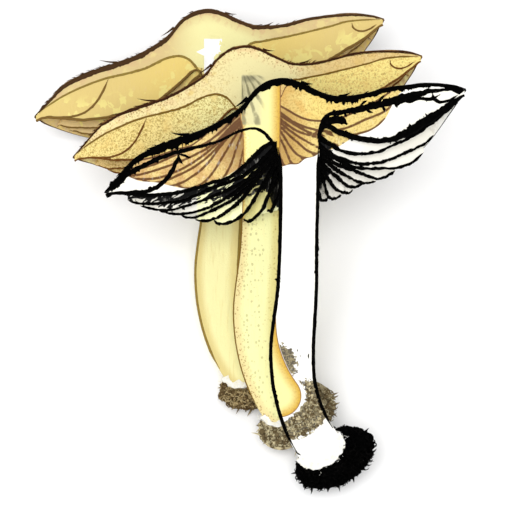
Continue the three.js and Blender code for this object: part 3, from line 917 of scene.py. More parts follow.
def make_gills(name, form, materials):
    shape = Shape()
    seed = form["seed"] * 100
    for sign, fan in ((1, FAN_RIGHT), (-1, FAN_LEFT)):
        turns = [turn_of_end(sign * line[-1][0] / MARGIN_REACH) for line in fan]
        for i, (turn, line) in enumerate(zip(turns, fan)):
            seed += 10
            curve = smooth(line)
            rear_plate(form, shape, turn, reach_of_post(turn) * 0.97, curve, seed)
            if i + 1 < len(fan):
                between = lerp(turn, turns[i + 1], 0.5)
                start = lerp(reach_of_post(turn), 1, 0.55)
                rear_plate(
                    form, shape, between, start, lambda x: curve(x) + 2.2, seed + 5, bead=False,
                )
    cut_plate(form, shape, 0.0, 5.0, seed + 7)
    cut_plate(form, shape, pi, 5.8, seed + 8)
    for line in SHORT_GILLS:
        stroke(shape, line, tapered(form["line"], 8), 1, form["line_rag"], form["seed"] + 3)
    replaced = [f"{name}_gill_{i + 1}" for i in range(11)]
    make_piece(f"{name}_gills", form, shape, materials, replaced)


# Felt and soil at the foot

TO_VIEWER = np.array([0, 0, 1.0])

# The felt cup: half width and length past the end of the stem, and then the same of its
# outside and inside, with how fluffy each is
CUP_HALF_WIDTH = 6.35
CUP_LENGTH = 5.1
CUP_LAYERS = [(CUP_HALF_WIDTH, CUP_LENGTH, 0.3), (4.9, 3.3, 0.6)]
FELT_THREADS = 150
CRUMBS = 900
CURLS = 150
TEETH = 90
CLINGING_CRUMBS = 260


def foot_frame(form):
    """Centre of the foot's end, and the directions across the stem and down it."""
    centre, across, _ = stem_line(form)
    foot = np.array([*centre[-1], 0.0])
    side = np.array([*across[-1], 0.0])
    down = np.array([across[-1][1], -across[-1][0], 0.0])
    return foot, side, down


def felt_cup(form, shape):
    """The cup under the foot, as an outside and an inside that meet."""
    foot, side, down = foot_frame(form)
    seed = form["seed"]
    polar = np.linspace(-0.1, pi / 2, 26)[:, None, None]
    around = np.linspace(0, pi, 49)[:, None]
    outwards = np.cos(around) * side - np.sin(around) * TO_VIEWER
    layers = []
    for width, length, fluff in CUP_LAYERS:
        points = foot + width * np.cos(polar) * outwards + length * np.sin(polar) * down
        puff = fluff * (lumps(points, 1.2, seed) + 0.6 * lumps(points, 0.5, seed + 1))
        puffed = points + unit(points - foot) * puff[..., None] * np.array([1, 1, 0.6])
        puffed[..., 2] += 0.12 + 0.08 * lumps(points, 0.8, seed + 2)
        layers.append(puffed)
    rows = np.concatenate([layers[0], layers[1][::-1]])
    shape.loft(np.swapaxes(rows, 0, 1), 0)


def felt_threads(form, shape):
    """Loose threads on the cup."""
    foot, side, down = foot_frame(form)
    rng = np.random.default_rng(form["seed"] + 8)
    for _ in range(FELT_THREADS):
        where = rng.uniform(-0.2, 1.3)
        spin = rng.uniform(0, pi)
        out = math.cos(where) * (math.cos(spin) * side - math.sin(spin) * TO_VIEWER)
        start = foot + out * (CUP_HALF_WIDTH - 0.3) + math.sin(where) * down * (CUP_LENGTH - 0.2)
        drift = rng.normal(0, 0.8, (2, 3)) * np.array([1, 1, 0.5])
        points = start + np.stack([0 * drift[0], drift[0], drift[0] + drift[1]])
        points[:, 2] = np.minimum(points[:, 2], 0.25)
        strand(shape, points, lambda share: 0.07 * (1 - 0.6 * share), 0, sides=4, step=0.5)


def make_mycelium(name, form, material):
    shape = Shape()
    felt_cup(form, shape)
    felt_threads(form, shape)
    make_piece(f"{name}_felt", form, shape, [material], [f"{name}_mycelium"])


def soil_frame(form):
    """Centre, long and short directions of the clod, on the cut face."""
    centre = np.array([SOIL_CENTRE[0], float(stretched(form, SOIL_CENTRE[1])), 0.0])
    tilt = math.radians(SOIL_TILT)
    long_way = np.array([math.cos(tilt), math.sin(tilt), 0])
    return centre, long_way, np.array([-math.sin(tilt), math.cos(tilt), 0])


def rough_ball(seed, detail):
    """A lumpy unit ball, as points and faces."""
    ball = bmesh.new()
    bmesh.ops.create_icosphere(ball, subdivisions=detail, radius=1)
    points = np.array([v.co for v in ball.verts])
    faces = [[v.index for v in f.verts] for f in ball.faces]
    ball.free()
    return points * (1 + 0.34 * lumps(points + 9, 0.7, seed))[:, None], faces


def in_foot(points, foot, slack):
    """How far inside the cup round the foot each point is; positive is inside."""
    centre, side, down = foot
    offset = points - centre
    across, ahead, depth = offset @ side, offset @ down, offset[:, 2]
    ahead = np.where(ahead > 0, ahead / (CUP_LENGTH + slack), 0)
    wide = CUP_HALF_WIDTH + slack
    return 1 - np.sqrt((across / wide) ** 2 + ahead**2 + (depth / wide) ** 2)


def hidden(place, foot, slack):
    return in_foot(place[None], foot, slack)[0] > 0


def soil_spot(form, way, reach):
    """A place in the clod's own directions, from a share of its half sizes."""
    centre, long_way, short_way = soil_frame(form)
    half = np.array([SOIL_HALF_LENGTH, SOIL_HALF_HEIGHT, form["soil_depth"]])
    out = np.asarray(way) * half * reach
    return centre + out[0] * long_way + out[1] * short_way + out[2] * TO_VIEWER


def round_way(angle, out, depth=0):
    """An angle and a distance on the cut face, and a depth behind it, as a direction."""
    return np.array([math.cos(angle) * out, math.sin(angle) * out, depth])


def soil_core(form, shape):
    ball, faces = rough_ball(form["seed"], 5)
    core = np.array([soil_spot(form, way, 0.84) for way in ball])
    core[:, 2] = np.minimum(core[:, 2], -0.6)
    core += 0.3 * lumps(core, 1.1, form["seed"] + 2)[:, None] * np.array([1, 1, 0.3])
    shape.add(core, faces)


def soil_crumbs(form, shape, foot, rng):
    """Crumbs all over the core, a third of them on the cut face."""
    balls = [rough_ball(form["seed"] * 10 + k, 2) for k in range(8)]
    made = 0
    while made < CRUMBS:
        way = unit(rng.normal(0, 1, 3))
        way[2] = -abs(way[2])
        size = rng.uniform(0.32, 0.85)
        if made % 3 == 0:
            way = round_way(rng.uniform(0, 2 * pi), math.sqrt(rng.uniform(0.02, 1)))
        place = soil_spot(form, way, 0.99 - size / 8)
        place[2] = min(place[2], rng.uniform(-0.5, 0.0))
        if hidden(place, foot, 0.1 + size * 0.4):
            continue
        points, faces = balls[made % len(balls)]
        made += 1
        turn = np.array(Matrix.Rotation(rng.uniform(0, 6), 3, rng.normal(0, 1, 3)))
        points = place + points @ turn.T * size * rng.uniform(0.6, 1.15, 3)
        shape.add(points, faces, 0, (rng.random(), 0, 0))


def soil_curls(form, shape, foot, rng):
    """Curled threads on the cut face; one in four is a larger dark one at the rim."""
    made = 0
    while made < CURLS:
        angle, out = rng.uniform(0, 2 * pi), math.sqrt(rng.uniform(0.05, 0.96))
        place = soil_spot(form, round_way(angle, out), 0.97)
        if hidden(place, foot, 0.2):
            continue
        made += 1
        start, sweep = rng.uniform(0, 2 * pi), rng.uniform(1.5, 4)
        radius = rng.uniform(0.35, 0.75)
        dark = made % 4 == 0
        if dark:
            radius = rng.uniform(0.7, 1.1)
            place = soil_spot(form, round_way(angle, 0.95), 0.97)
            if hidden(place, foot, 0.2):
                continue
        angles = start + np.linspace(0, sweep, 7)
        curl = stacked(np.cos(angles) * radius, np.sin(angles) * radius * 0.8, 0.25)
        thick = rng.uniform(0.09, 0.17)
        note = (1, 0, 0) if dark else (rng.random(), 1, 0)
        strand(shape, place + curl, bow(thick), 0, 5, 0.2, note)


def soil_teeth(form, shape, foot, rng):
    """Teeth that stick out of the rim, every second one at the cut face."""
    for k in range(TEETH):
        angle = k * 2 * pi / TEETH + rng.uniform(-0.05, 0.05)
        if k % 2:
            depth, flat = rng.uniform(-0.5, 0) / form["soil_depth"], 1
        else:
            depth = rng.uniform(-0.75, -0.1)
            flat = math.sqrt(1 - depth**2)
        place = soil_spot(form, round_way(angle, flat, depth), 0.93)
        if hidden(place, foot, 0.3):
            continue
        out = unit(place - soil_spot(form, (0, 0, depth), 1))
        way = out + rng.normal(0, 0.45, 3) * np.array([1, 1, 0.3])
        length = rng.uniform(0.5, 1.15) + (0.7 if rng.random() < 0.12 else 0)
        bend = place + way * length * 0.5 + rng.normal(0, 0.15, 3)
        thick = rng.uniform(0.35, 0.6)
        points = [place - way * 0.6, bend, place + way * length]
        strand(shape, points, spike(thick), 0, 6, 0.2, (rng.random(), 0, 0))


def make_soil(name, form, material):
    shape = Shape()
    foot = foot_frame(form)
    rng = np.random.default_rng(form["seed"] + 9)
    soil_core(form, shape)
    for add in (soil_crumbs, soil_curls, soil_teeth):
        add(form, shape, foot, rng)
    slot = f"{name}_soil"
    make_piece(f"{name}_clod", form, shape, [material], [slot])


def on_stem(stem, place):
    """Whether a place is on the cut face of the stem, clear of its sides."""
    centre, across, width = stem
    offset = place[:2] - centre
    nearest = np.argmin((offset**2).sum(-1))
    return abs(offset[nearest] @ across[nearest]) <= width[nearest] - 0.7


def make_clinging_soil(form, material):
    """Crumbs and curls from the middle clod that cling to the front stem's cut face."""
    shape = Shape()
    middle = FORMS["middle"]
    foot, stem = foot_frame(middle), stem_line(form)
    rng = np.random.default_rng(51)
    balls = [rough_ball(500 + k, 2) for k in range(6)]
    made = 0
    while made < CLINGING_CRUMBS:
        way = round_way(rng.uniform(0, 2 * pi), math.sqrt(rng.random()))
        seen = soil_spot(middle, way, 0.98)
        if hidden(seen, foot, 0.3):
            continue
        place = seen * SEEN_SCALE - (*SEEN_SHIFT, 0)
        if not on_stem(stem, place):
            continue
        made += 1
        place[2] = rng.uniform(-0.1, 0.25)
        note = (rng.random(), 0, 0)
        if made % 4:
            points, faces = balls[made % len(balls)]
            points = points * rng.uniform(0.22, 0.5) * rng.uniform(0.6, 1.2, 3)
            shape.add(place + points, faces, 0, note)
            continue
        angles = rng.uniform(0, 2 * pi) + np.linspace(0, rng.uniform(1.5, 4), 7)
        curl = stacked(np.cos(angles), np.sin(angles), 0.0) * rng.uniform(0.35, 0.65)
        strand(shape, place + curl, bow(rng.uniform(0.08, 0.15)), 0, 5, 0.2, (0.5, 1, 0))
    make_piece("clinging_soil", form, shape, [material], [])


# Materials

BRIGHTNESS = 0.85


def colour(code, gain=1.0):
    """A drawn colour such as "F2D982" as the light the surface sends back."""
    parts = [int(code[i:i + 2], 16) / 255 for i in (0, 2, 4)]
    linear = [c / 12.92 if c <= 0.04045 else ((c + 0.055) / 1.055) ** 2.4 for c in parts]
    return [*(c * gain * BRIGHTNESS for c in linear), 1.0]


class Paint:
    """The nodes of one material. Each method returns a socket or a plain value."""

    def __init__(self, name, roughness, specular=0.2, sheen=0.0):
        self.material = bpy.data.materials.new(name)
        self.material.use_nodes = True
        self.nodes = self.material.node_tree.nodes
        self.shader = self.nodes["Principled BSDF"]
        self.shader.inputs["Roughness"].default_value = roughness
        self.shader.inputs["Specular IOR Level"].default_value = specular
        self.shader.inputs["Sheen Weight"].default_value = sheen
        self.place = self.attribute("place")
        self.note = self.attribute("note")
        self.x, self.y, self.z = self.split(self.place)

    def link(self, source, target):
        if isinstance(source, bpy.types.NodeSocket):
            self.material.node_tree.links.new(source, target)
        else:
            target.default_value = source

    def attribute(self, name):
        node = self.nodes.new("ShaderNodeAttribute")
        node.attribute_name = name
        return node.outputs["Vector"]

    def split(self, vector):
        """The three parts of a vector."""
        node = self.nodes.new("ShaderNodeSeparateXYZ")
        self.link(vector, node.inputs[0])
        return tuple(node.outputs)

    def math(self, kind, a, b=0.0, c=0.0):
        node = self.nodes.new("ShaderNodeMath")
        node.operation = kind
        for value, target in zip((a, b, c), node.inputs):
            self.link(value, target)
        return node.outputs[0]

    def scaled(self, vector, stretch=(1, 1, 1), shift=(0, 0, 0)):
        node = self.nodes.new("ShaderNodeMapping")
        self.link(vector, node.inputs["Vector"])
        node.inputs["Scale"].default_value = stretch
        node.inputs["Location"].default_value = shift
        return node.outputs[0]

    def turned(self, degrees):
        """The place, turned in the plane of the cut."""
        node = self.nodes.new("ShaderNodeMapping")
        self.link(self.place, node.inputs["Vector"])
        node.inputs["Rotation"].default_value = (0, 0, math.radians(-degrees))
        return node.outputs[0]

    def fibre_place(self):
        """The turn round the cap and the distance from its middle: noise there runs outwards."""
        deep = self.math("MULTIPLY", self.z, 1 / REAR_SQUASH)
        squares = [self.math("MULTIPLY", side, side) for side in (self.x, deep)]
        distance = self.math("SQRT", self.math("ADD", *squares))
        node = self.nodes.new("ShaderNodeCombineXYZ")
        self.link(self.math("MULTIPLY", self.math("ARCTAN2", deep, self.x), 22), node.inputs[0])
        self.link(self.math("MULTIPLY", distance, 0.3), node.inputs[1])
        return node.outputs[0]

    def noise(self, scale, detail=3.0, distortion=0.0, place=None, **mapping):
        """Noise in millimetres: scale is how many lumps there are to one."""
        node = self.nodes.new("ShaderNodeTexNoise")
        self.link(self.scaled(place or self.place, **mapping), node.inputs["Vector"])
        node.inputs["Scale"].default_value = scale
        node.inputs["Detail"].default_value = detail
        node.inputs["Roughness"].default_value = 0.55
        node.inputs["Distortion"].default_value = distortion
        return node.outputs["Fac"]

    def around_zero(self, *values):
        """The same noise, moved so that it is above zero as often as below."""
        return self.math("SUBTRACT", self.noise(*values), 0.5)

    def dots(self, cell, size, randomness=1.0, **mapping):
        """Small dots, one to each cell of that many millimetres; 1 on a dot and 0 between."""
        node = self.nodes.new("ShaderNodeTexVoronoi")
        self.link(self.scaled(self.place, **mapping), node.inputs["Vector"])
        node.inputs["Scale"].default_value = 1 / cell
        node.inputs["Randomness"].default_value = randomness
        return self.band(node.outputs["Distance"], size * 1.25, size * 0.75)

    def band(self, value, start, end):
        """0 before start, 1 after end, and smooth between; start may be the larger."""
        node = self.nodes.new("ShaderNodeMapRange")
        node.interpolation_type = "SMOOTHSTEP"
        flip = start > end
        low, high = (end, start) if flip else (start, end)
        self.link(value, node.inputs["Value"])
        node.inputs["From Min"].default_value = low
        node.inputs["From Max"].default_value = high
        node.inputs["To Min"].default_value = 1.0 if flip else 0.0
        node.inputs["To Max"].default_value = 0.0 if flip else 1.0
        return node.outputs[0]

    def both(self, *values):
        """The product of several shares."""
        total = values[0]
        for value in values[1:]:
            total = self.math("MULTIPLY", total, value)
        return total

    def mix(self, share, first, second):
        node = self.nodes.new("ShaderNodeMix")
        node.data_type = "RGBA"
        for socket, value in ((0, share), (6, first), (7, second)):
            self.link(value, node.inputs[socket])
        return node.outputs[2]

    def over(self, tint, code, *shares):
        """A drawn colour laid over a tint, as far as the product of the shares says."""
        return self.mix(self.both(*shares), tint, colour(code))

    def finish(self, base, height=None, strength=0.3, distance=0.3):
        """Sets the colour, and a bump whose full height is a distance in millimetres."""
        self.link(base, self.shader.inputs["Base Color"])
        if height is not None:
            bump = self.nodes.new("ShaderNodeBump")
            bump.inputs["Strength"].default_value = strength
            bump.inputs["Distance"].default_value = distance * 0.001
            self.link(height, bump.inputs["Height"])
            self.link(bump.outputs[0], self.shader.inputs["Normal"])
        return self.material


# Colours of each half, as drawn
COLOURS = {
    "back": dict(
        core="F6EFAC", band="DEC68A", blush="DCB988", gold="EEDB92", stem="F8F2B4",
        edge="DCC67C", stem_gold="EEDB92", skin="4A3420", skin_light="7A5C38", gill="EFD47C",
        gill_far="E4CB80", gill_patch="F4E58E", under="ECD09A", line="96803F", bead="7E6232",
        soil="98855E", soil_dark="5C4A30", soil_light="C4B084",
    ),
    "middle": dict(
        core="F4E8AA", band="FBEAAA", blush="F0D096", gold="EED07A", stem="F9F7B4",
        edge="E8D294", stem_gold="E9DB8A", skin="3E2414", skin_light="8A6638", gill="FFF6AC",
        gill_far="FBE494", gill_patch="F2CE78", under="E4C48A", line="7E622A", bead="6E451E",
        soil="D6C8A0", soil_dark="6A5B40", soil_light="DCD2AC",
    ),
    "front": dict(
        core="FFFFFC", band="FFFDF6", blush="FCF8EC", gold="FFFCF2", stem="FFFFFD",
        edge="FFFEF8", stem_gold="FFFCF2", skin="020202", skin_light="0C0B0A", gill="FFFEF8",
        gill_far="FFFDF0", under="F8F4E8", line="020202", bead="020202", soil="020202",
        soil_dark="010101", soil_light="0C0B0A",
    ),
}


def flesh_material(name, hues):
    paint = Paint(f"{name}_flesh", 0.62, specular=0.25)
    depth, across, _ = paint.split(paint.note)
    soft = paint.noise(0.35, 4)
    under_skin = paint.band(depth, 4.2, 0.6)
    outwards = paint.band(paint.math("ABSOLUTE", paint.x), 5, 16)
    in_cap = paint.band(depth, 60, 40)
    out_in_cap = paint.both(outwards, in_cap)
    tint = paint.mix(out_in_cap, colour(hues["core"]), colour(hues["band"]))
    blotch = paint.band(paint.noise(0.5, 2, 0.6), 0.48, 0.6)
    tint = paint.over(tint, hues["band"], under_skin, 0.8)
    tint = paint.over(tint, hues["blush"], under_skin, blotch, 0.75)
    tint = paint.over(tint, hues["gold"], out_in_cap, paint.band(soft, 0.52, 0.66), 0.7)
    stem = paint.band(depth, 40, 60)
    tint = paint.over(tint, hues["stem"], stem)
    # the stem's sides: rind colour and partly painted shade of a round stem, golden on the right
    left_edge = paint.both(stem, paint.band(across, -0.45, -0.85))
    right_rind_shade = paint.both(stem, paint.band(across, 0.4, 0.8))
    tint = paint.over(tint, hues["edge"], left_edge, 0.75)
    tint = paint.over(tint, hues["stem_gold"], right_rind_shade, 0.8)
    fibres = paint.noise(1.1, 4, stretch=(1.6, 0.12, 1.6))
    tint = paint.over(tint, hues["edge"], stem, paint.band(fibres, 0.5, 0.75), 0.35)
    if name == "back":
        tint = torn_core(paint, tint)
    if name == "middle":
        rows_zone = paint.both(stem, paint.band(across, -0.72, -0.6), paint.band(across, 0.35, 0.2))
        tint = stippled(paint, tint, soft, under_skin, left_edge, rows_zone)
        to_right = paint.both(out_in_cap, paint.band(paint.x, 5, 12))
        tint = paint.over(tint, "DFB96C", to_right, 0.6)
        fine = paint.band(paint.noise(2.0, 3, 0.6), 0.52, 0.6)
        tint = paint.over(tint, "B08A4C", fine, in_cap, paint.band(outwards, 0, 0.4), 0.36)
        spots = paint.dots(0.7, 0.3, shift=(1, 7, 2))
        tint = paint.over(tint, "B49A48", spots, right_rind_shade, paint.band(fibres, 0.35, 0.6), 0.6)
        tint = folded_pith(paint, tint, paint.x, paint.y)
    if name == "front":
        tint = shown_through(paint, tint, paint.band(paint.z, -1.8, -0.5))
        tint = paint.over(tint, hues["skin"], black_tip(paint))
    grain = paint.math("ADD", paint.noise(2.2, 5), paint.both(fibres, 0.6))
    return paint.finish(tint, grain, 0.35, 0.35)


def stippled(paint, tint, soft, under_skin, left_edge, rows_zone):
    """The middle half's dots: thick under the skin and on the left, and in rows on the stem."""
    where = paint.math("MAXIMUM", paint.both(under_skin, 0.9), paint.both(left_edge, 0.8))
    tint = paint.over(tint, "9C6C30", paint.dots(0.62, 0.3), where, 0.85)
    sparse = paint.dots(0.75, 0.22, shift=(3, 1, 2))
    tint = paint.over(tint, "B4945A", sparse, paint.band(soft, 0.5, 0.62), 0.45)
    rows = paint.dots(0.95, 0.3, stretch=(1, 0.75, 1), randomness=0.5)
    return paint.over(tint, "ACA672", rows, rows_zone, paint.band(soft, 0.36, 0.5), 0.55)


def torn_core(paint, tint):
    """The white torn patch where the back half's stem meets its cap."""
    x, y = paint.x, paint.y
    torn = paint.math("MULTIPLY_ADD", paint.around_zero(0.6, 2, 0.4), 6, x)
    slant = paint.math("MULTIPLY_ADD", paint.math("SUBTRACT", 5.4, y), 0.29, torn)
    tooth = paint.math("SUBTRACT", 1, paint.math("ABSOLUTE", paint.math("SUBTRACT", y, 2.2)))
    notched = paint.math("MULTIPLY_ADD", paint.math("MAXIMUM", tooth, 0), 2, x)
    torn_x = paint.both(paint.band(notched, -5.1, -4.9), paint.band(slant, -0.6, -0.9))
    torn_y = paint.both(paint.band(y, -3.6, -3.2), paint.band(y, 5.8, 5.4))
    return paint.mix(paint.both(torn_x, torn_y), tint, colour("FFFFFF", 1.1))


def folded_pith(paint, tint, x, y):
    """The grey folds at the top of the middle stem, in its own x and y: painted shade."""
    pith_x = paint.both(paint.band(x, -5.2, -4.9), paint.band(x, 1.2, -1.2))
    pith = paint.both(pith_x, paint.band(y, -6.4, -5.6), paint.band(y, 6.2, 5.4))
    slope = paint.math("ARCTAN2", paint.math("ADD", x, 5.4), paint.math("SUBTRACT", 8.5, y))
    wobble = paint.math("MULTIPLY", paint.around_zero(0.4, 3), 2.8)
    fan = paint.math("SINE", paint.math("MULTIPLY_ADD", slope, 26, wobble))
    crease_shade = paint.both(paint.band(fan, -0.1, 0.9), pith, paint.band(paint.noise(0.35, 4), 0.25, 0.5))
    # painted shade: grey over the soft hollow
    tint = paint.over(tint, "CFC9A2", pith, 0.6)
    tint = paint.over(tint, "8A8460", crease_shade, 0.85)
    # painted shade: the top of the hollow darker
    dark = paint.both(pith, paint.band(y, 3.6, 5), paint.band(x, -1, -2.6))
    return paint.over(tint, "7E7A5C", dark, 0.7)


def under_material(name, hues):
    """The underside of the cap between the gills, darker as painted shade."""
    paint = Paint(f"{name}_under", 0.75)
    rays = paint.noise(0.9, 4, stretch=(1, 0.3, 1))
    # painted shade: the underside colour, darker and at 0.9 gain, for the hollow between the gills
    tint = paint.mix(paint.band(rays, 0.35, 0.7), colour(hues["under"], 0.9), colour(hues["gill"]))
    if name == "front":
        # the stems' pale yellow at 1.15 gain: painted light over the shade among the lobes
        tint = paint.mix(lit_across_stems(paint), tint, colour("FFFFC8", 1.15))
        # painted shadow: the hollow under the front cap in solid black
        tint = paint.over(tint, hues["skin"], cavity_shadow(paint))
    return paint.finish(tint, paint.noise(1.8, 4, stretch=(1, 0.3, 1)), 0.4, 0.4)


def lit_across_stems(paint):
    """The part of the front half's underside that lies across the other two stems."""
    x, y = paint.x, paint.y
    across = paint.both(paint.band(x, -25.2, -24.6), paint.band(x, -4.2, -4.8))
    return paint.both(across, paint.band(y, -9, -10), 0.95)


def seen_cap(paint, worm, gill, edge, line):
    """The middle half's flesh and gills as they show through, with the lines between."""
    x, y = paint.x, paint.y
    warm = paint.noise(0.25, 3)
    flesh = paint.mix(paint.band(warm, 0.42, 0.6), colour("E4CE7C"), colour("D2AC6A"))
    plate = paint.mix(paint.band(warm, 0.42, 0.6), colour("F0DC88"), colour("E4BE68"))
    fan = paint.mix(paint.band(warm, 0.42, 0.58), colour("EACE86"), colour("D6AE70"))
    # painted shade: the hollow left of the middle's stem
    shade = paint.both(paint.band(x, -23, -15), paint.band(x, -11, -13), paint.band(y, -13, -3))
    fan = paint.over(fan, "8A683C", shade, 0.75)
    fan = paint.over(fan, "DEBC68", paint.band(x, -7, -2), 0.8)
    to_side = paint.band(x, 0, 4)
    fan = paint.over(fan, "EED888", to_side, 0.75)
    plate = paint.over(plate, "EED274", to_side, 0.7)
    # painted shade: the middle's gills and plates darker by its stem
    shade_by_stem = paint.both(paint.band(x, -5.5, -4.5), paint.band(x, 3, -4))
    fan = paint.over(fan, "A87A38", shade_by_stem, 0.6)
    plate = paint.over(plate, "C8984A", shade_by_stem, 0.6)
    hue = paint.mix(paint.band(gill, 0.1, -0.1), flesh, plate)
    hue = paint.mix(paint.band(edge, 0.1, -0.1), hue, fan)
    hue = paint.over(hue, "A88438", worm, 0.55)
    line = paint.math("MULTIPLY_ADD", paint.noise(1.1, 3), 0.35, line)
    drawn = paint.both(paint.band(line, 0.58, 0.4), paint.band(edge, 0.4, 0.1))
    for distance in (gill, edge):
        off = paint.math("ABSOLUTE", distance)
        drawn = paint.math("MAXIMUM", drawn, paint.band(off, 0.32, 0.18))
    return paint.over(hue, "5C3202", drawn, 0.95)


def seen_stem(paint, worm, stem, side):
    """The middle half's stem as it shows through, with painted shade at its sides."""
    core = paint.mix(paint.band(stem, 0.1, 1.0), colour("DCB656"), colour("F6EEA2"))
    seen_x = paint.math("MULTIPLY_ADD", paint.x, 1 / SEEN_SCALE, SEEN_SHIFT[0] / SEEN_SCALE)
    seen_y = paint.math("MULTIPLY_ADD", paint.y, 1 / SEEN_SCALE, SEEN_SHIFT[1] / SEEN_SCALE)
    core = folded_pith(paint, core, seen_x, seen_y)
    # painted shade: golden towards the right side of the stem
    to_right = paint.both(paint.band(stem, 3.4, 0.3), paint.band(side, 0, 1))
    core = paint.over(core, "D8AA2C", to_right, 0.9)
    core = paint.over(core, "B98A40", worm, paint.band(stem, 2.8, 0.4), 0.5)
    return paint.over(core, "8A5E2A", paint.band(stem, 0.32, 0.2))


def shown_through(paint, tint, fade=1.0):
    """The middle half's colours on the front one, where they show through in the picture."""
    inside, gill, edge = paint.split(paint.attribute("seen"))
    line, stem, soil = paint.split(paint.attribute("seen_more"))
    side, far_soil, _ = paint.split(paint.attribute("seen_rest"))
    worm = paint.band(paint.noise(2.2, 3, 0.8), 0.48, 0.62)
    hue = seen_cap(paint, worm, gill, edge, line)
    hue = paint.mix(paint.band(stem, -0.05, 0.05), hue, seen_stem(paint, worm, stem, side))
    tint = paint.mix(paint.both(paint.band(inside, -0.1, 0.15), 0.99, fade), tint, hue)
    torn = paint.math("MULTIPLY", paint.around_zero(1.1, 4, 0.6), 5)
    far = paint.math("ADD", far_soil, torn)
    behind = paint.math("MINIMUM", far, paint.math("MULTIPLY", stem, -4))
    earth = paint.math("MAXIMUM", paint.math("ADD", torn, soil), behind)
    speckled = paint.band(paint.noise(1.6, 4, 0.8, shift=(4, 4, 4)), 0.44, 0.56)
    grime = paint.mix(speckled, colour("453A22"), colour("8E8056"))
    return paint.mix(paint.both(paint.band(earth, 0, 0.4), 0.95, fade), tint, grime)


def black_tip(paint):
    """The solid black tip of the front half's longer side."""
    x, y = paint.x, paint.y
    torn = paint.math("MULTIPLY", paint.around_zero(0.9, 2), 2.5)
    low = paint.math("MULTIPLY_ADD", paint.math("ADD", x, 46.5), 0.62, -14.9)
    above = paint.band(paint.math("SUBTRACT", paint.math("ADD", y, torn), low), -0.1, 0.1)
    return paint.both(paint.band(paint.math("ADD", x, torn), -42.0, -42.4), above)


def cavity_shadow(paint):
    """Painted shadow: the hollow under the front cap in solid black, with torn edges."""
    torn = paint.around_zero(0.55, 3, 0.5)
    _, _, depth = paint.split(paint.note)
    inside = paint.math("MULTIPLY_ADD", torn, 5.0, depth)
    place = paint.turned(32)
    slits = paint.noise(1.0, 1, 0.3, place, stretch=(0.3, 1.5, 0.3), shift=(7, 1, 3))
    zone = paint.both(paint.band(depth, 8, 5), paint.band(paint.x, -8, -12))
    slit = paint.both(paint.band(slits, 0.575, 0.6), zone)
    return paint.both(paint.band(inside, -0.15, 0.15), paint.math("SUBTRACT", 1, slit))


def gill_material(name, hues):
    paint = Paint(f"{name}_gill_faces", 0.7, specular=0.15)
    x, z = paint.x, paint.z
    edge, _, _ = paint.split(paint.note)
    far = paint.band(paint.math("ABSOLUTE", x), 10, 30)
    tint = paint.mix(far, colour(hues["gill"]), colour(hues["gill_far"]))
    # painted shade: plates further behind the cut take the darker underside colour
    behind = paint.band(z, -0.9, -2.0)
    tint = paint.over(tint, hues["under"], behind, 0.75)
    if name == "back":
        patch = paint.band(paint.noise(0.28, 3, 0.8), 0.55, 0.57)
        patch = paint.both(patch, paint.band(edge, 7, 3))
        tint = paint.over(tint, hues["gill_patch"], patch, 0.85)
        y = paint.y
        # painted shade: dark wedge in the hollow beside the stem, behind the cut
        beside = paint.both(paint.band(x, -13.5, -10), paint.band(y, -9, -6))
        beside = paint.both(beside, paint.band(y, -1.5, -3), behind)
        tint = paint.over(tint, "7E6238", beside, paint.band(x, -4, -6), 0.6)
    if name == "middle":
        right = paint.band(x, 0, 3)
        tint = paint.over(tint, "FFEC92", right, paint.band(z, -2, -0.9))
        worm = paint.band(paint.noise(1.9, 2, 1.4), 0.5, 0.58)
        worm_hue = paint.mix(right, colour("B0903E"), colour("CC9440"))
        worm_share = paint.math("MULTIPLY_ADD", right, -0.25, 0.8)
        tint = paint.mix(paint.both(worm, worm_share), tint, worm_hue)
        speck = paint.dots(0.9, 0.26)
        tint = paint.over(tint, "8A6424", speck, 0.4)
        warm = paint.band(paint.noise(0.2, 2), 0.5, 0.7)
        tint = paint.over(tint, hues["gill_patch"], warm, 0.5)
    if name == "front":
        # the stems' pale yellow at 1.15 gain: painted light over the shade among the lobes
        tint = paint.mix(lit_across_stems(paint), tint, colour("FFFFC8", 1.15))
        tint = shown_through(paint, tint)
        # painted shadow of the hollow, joined with the solid black tip
        black = paint.math("MAXIMUM", cavity_shadow(paint), black_tip(paint))
        tint = paint.over(tint, hues["skin"], black)
    rays = paint.noise(1.4, 4, stretch=(1, 0.35, 1))
    tint = paint.over(tint, hues["under"], paint.band(rays, 0.55, 0.75), 0.25)
    return paint.finish(tint, rays, 0.45, 0.4)


def line_material(name, label, code, light):
    """A drawn line: dark, a little uneven."""
    paint = Paint(f"{name}_{label}", 0.9, specular=0.02)
    uneven = paint.band(paint.noise(1.3, 4), 0.45, 0.75)
    tint = paint.over(colour(code), light, uneven, 0.6)
    return paint.finish(tint, paint.noise(3, 3), 0.3, 0.2)


def skin_material(name, hues):
    """The dry fibrous skin of the cap."""
    paint = Paint(f"{name}_skin", 0.9, specular=0.05)
    outwards = paint.fibre_place()
    streaks = paint.noise(0.8, 6, 0.3, place=outwards)
    fine = paint.noise(3.4, 5, place=outwards)
    patches = paint.noise(0.16, 4, 0.5)
    tint = paint.over(colour(hues["skin"]), hues["skin_light"], paint.band(streaks, 0.36, 0.64))
    tint = paint.over(tint, hues["skin"], paint.band(patches, 0.48, 0.6), 0.6)
    light = paint.both(paint.band(fine, 0.52, 0.72), 0.5)
    tint = paint.mix(light, tint, colour(hues["skin_light"], 1.7))
    return paint.finish(tint, paint.math("ADD", streaks, paint.both(fine, 0.6)), 0.7, 0.6)


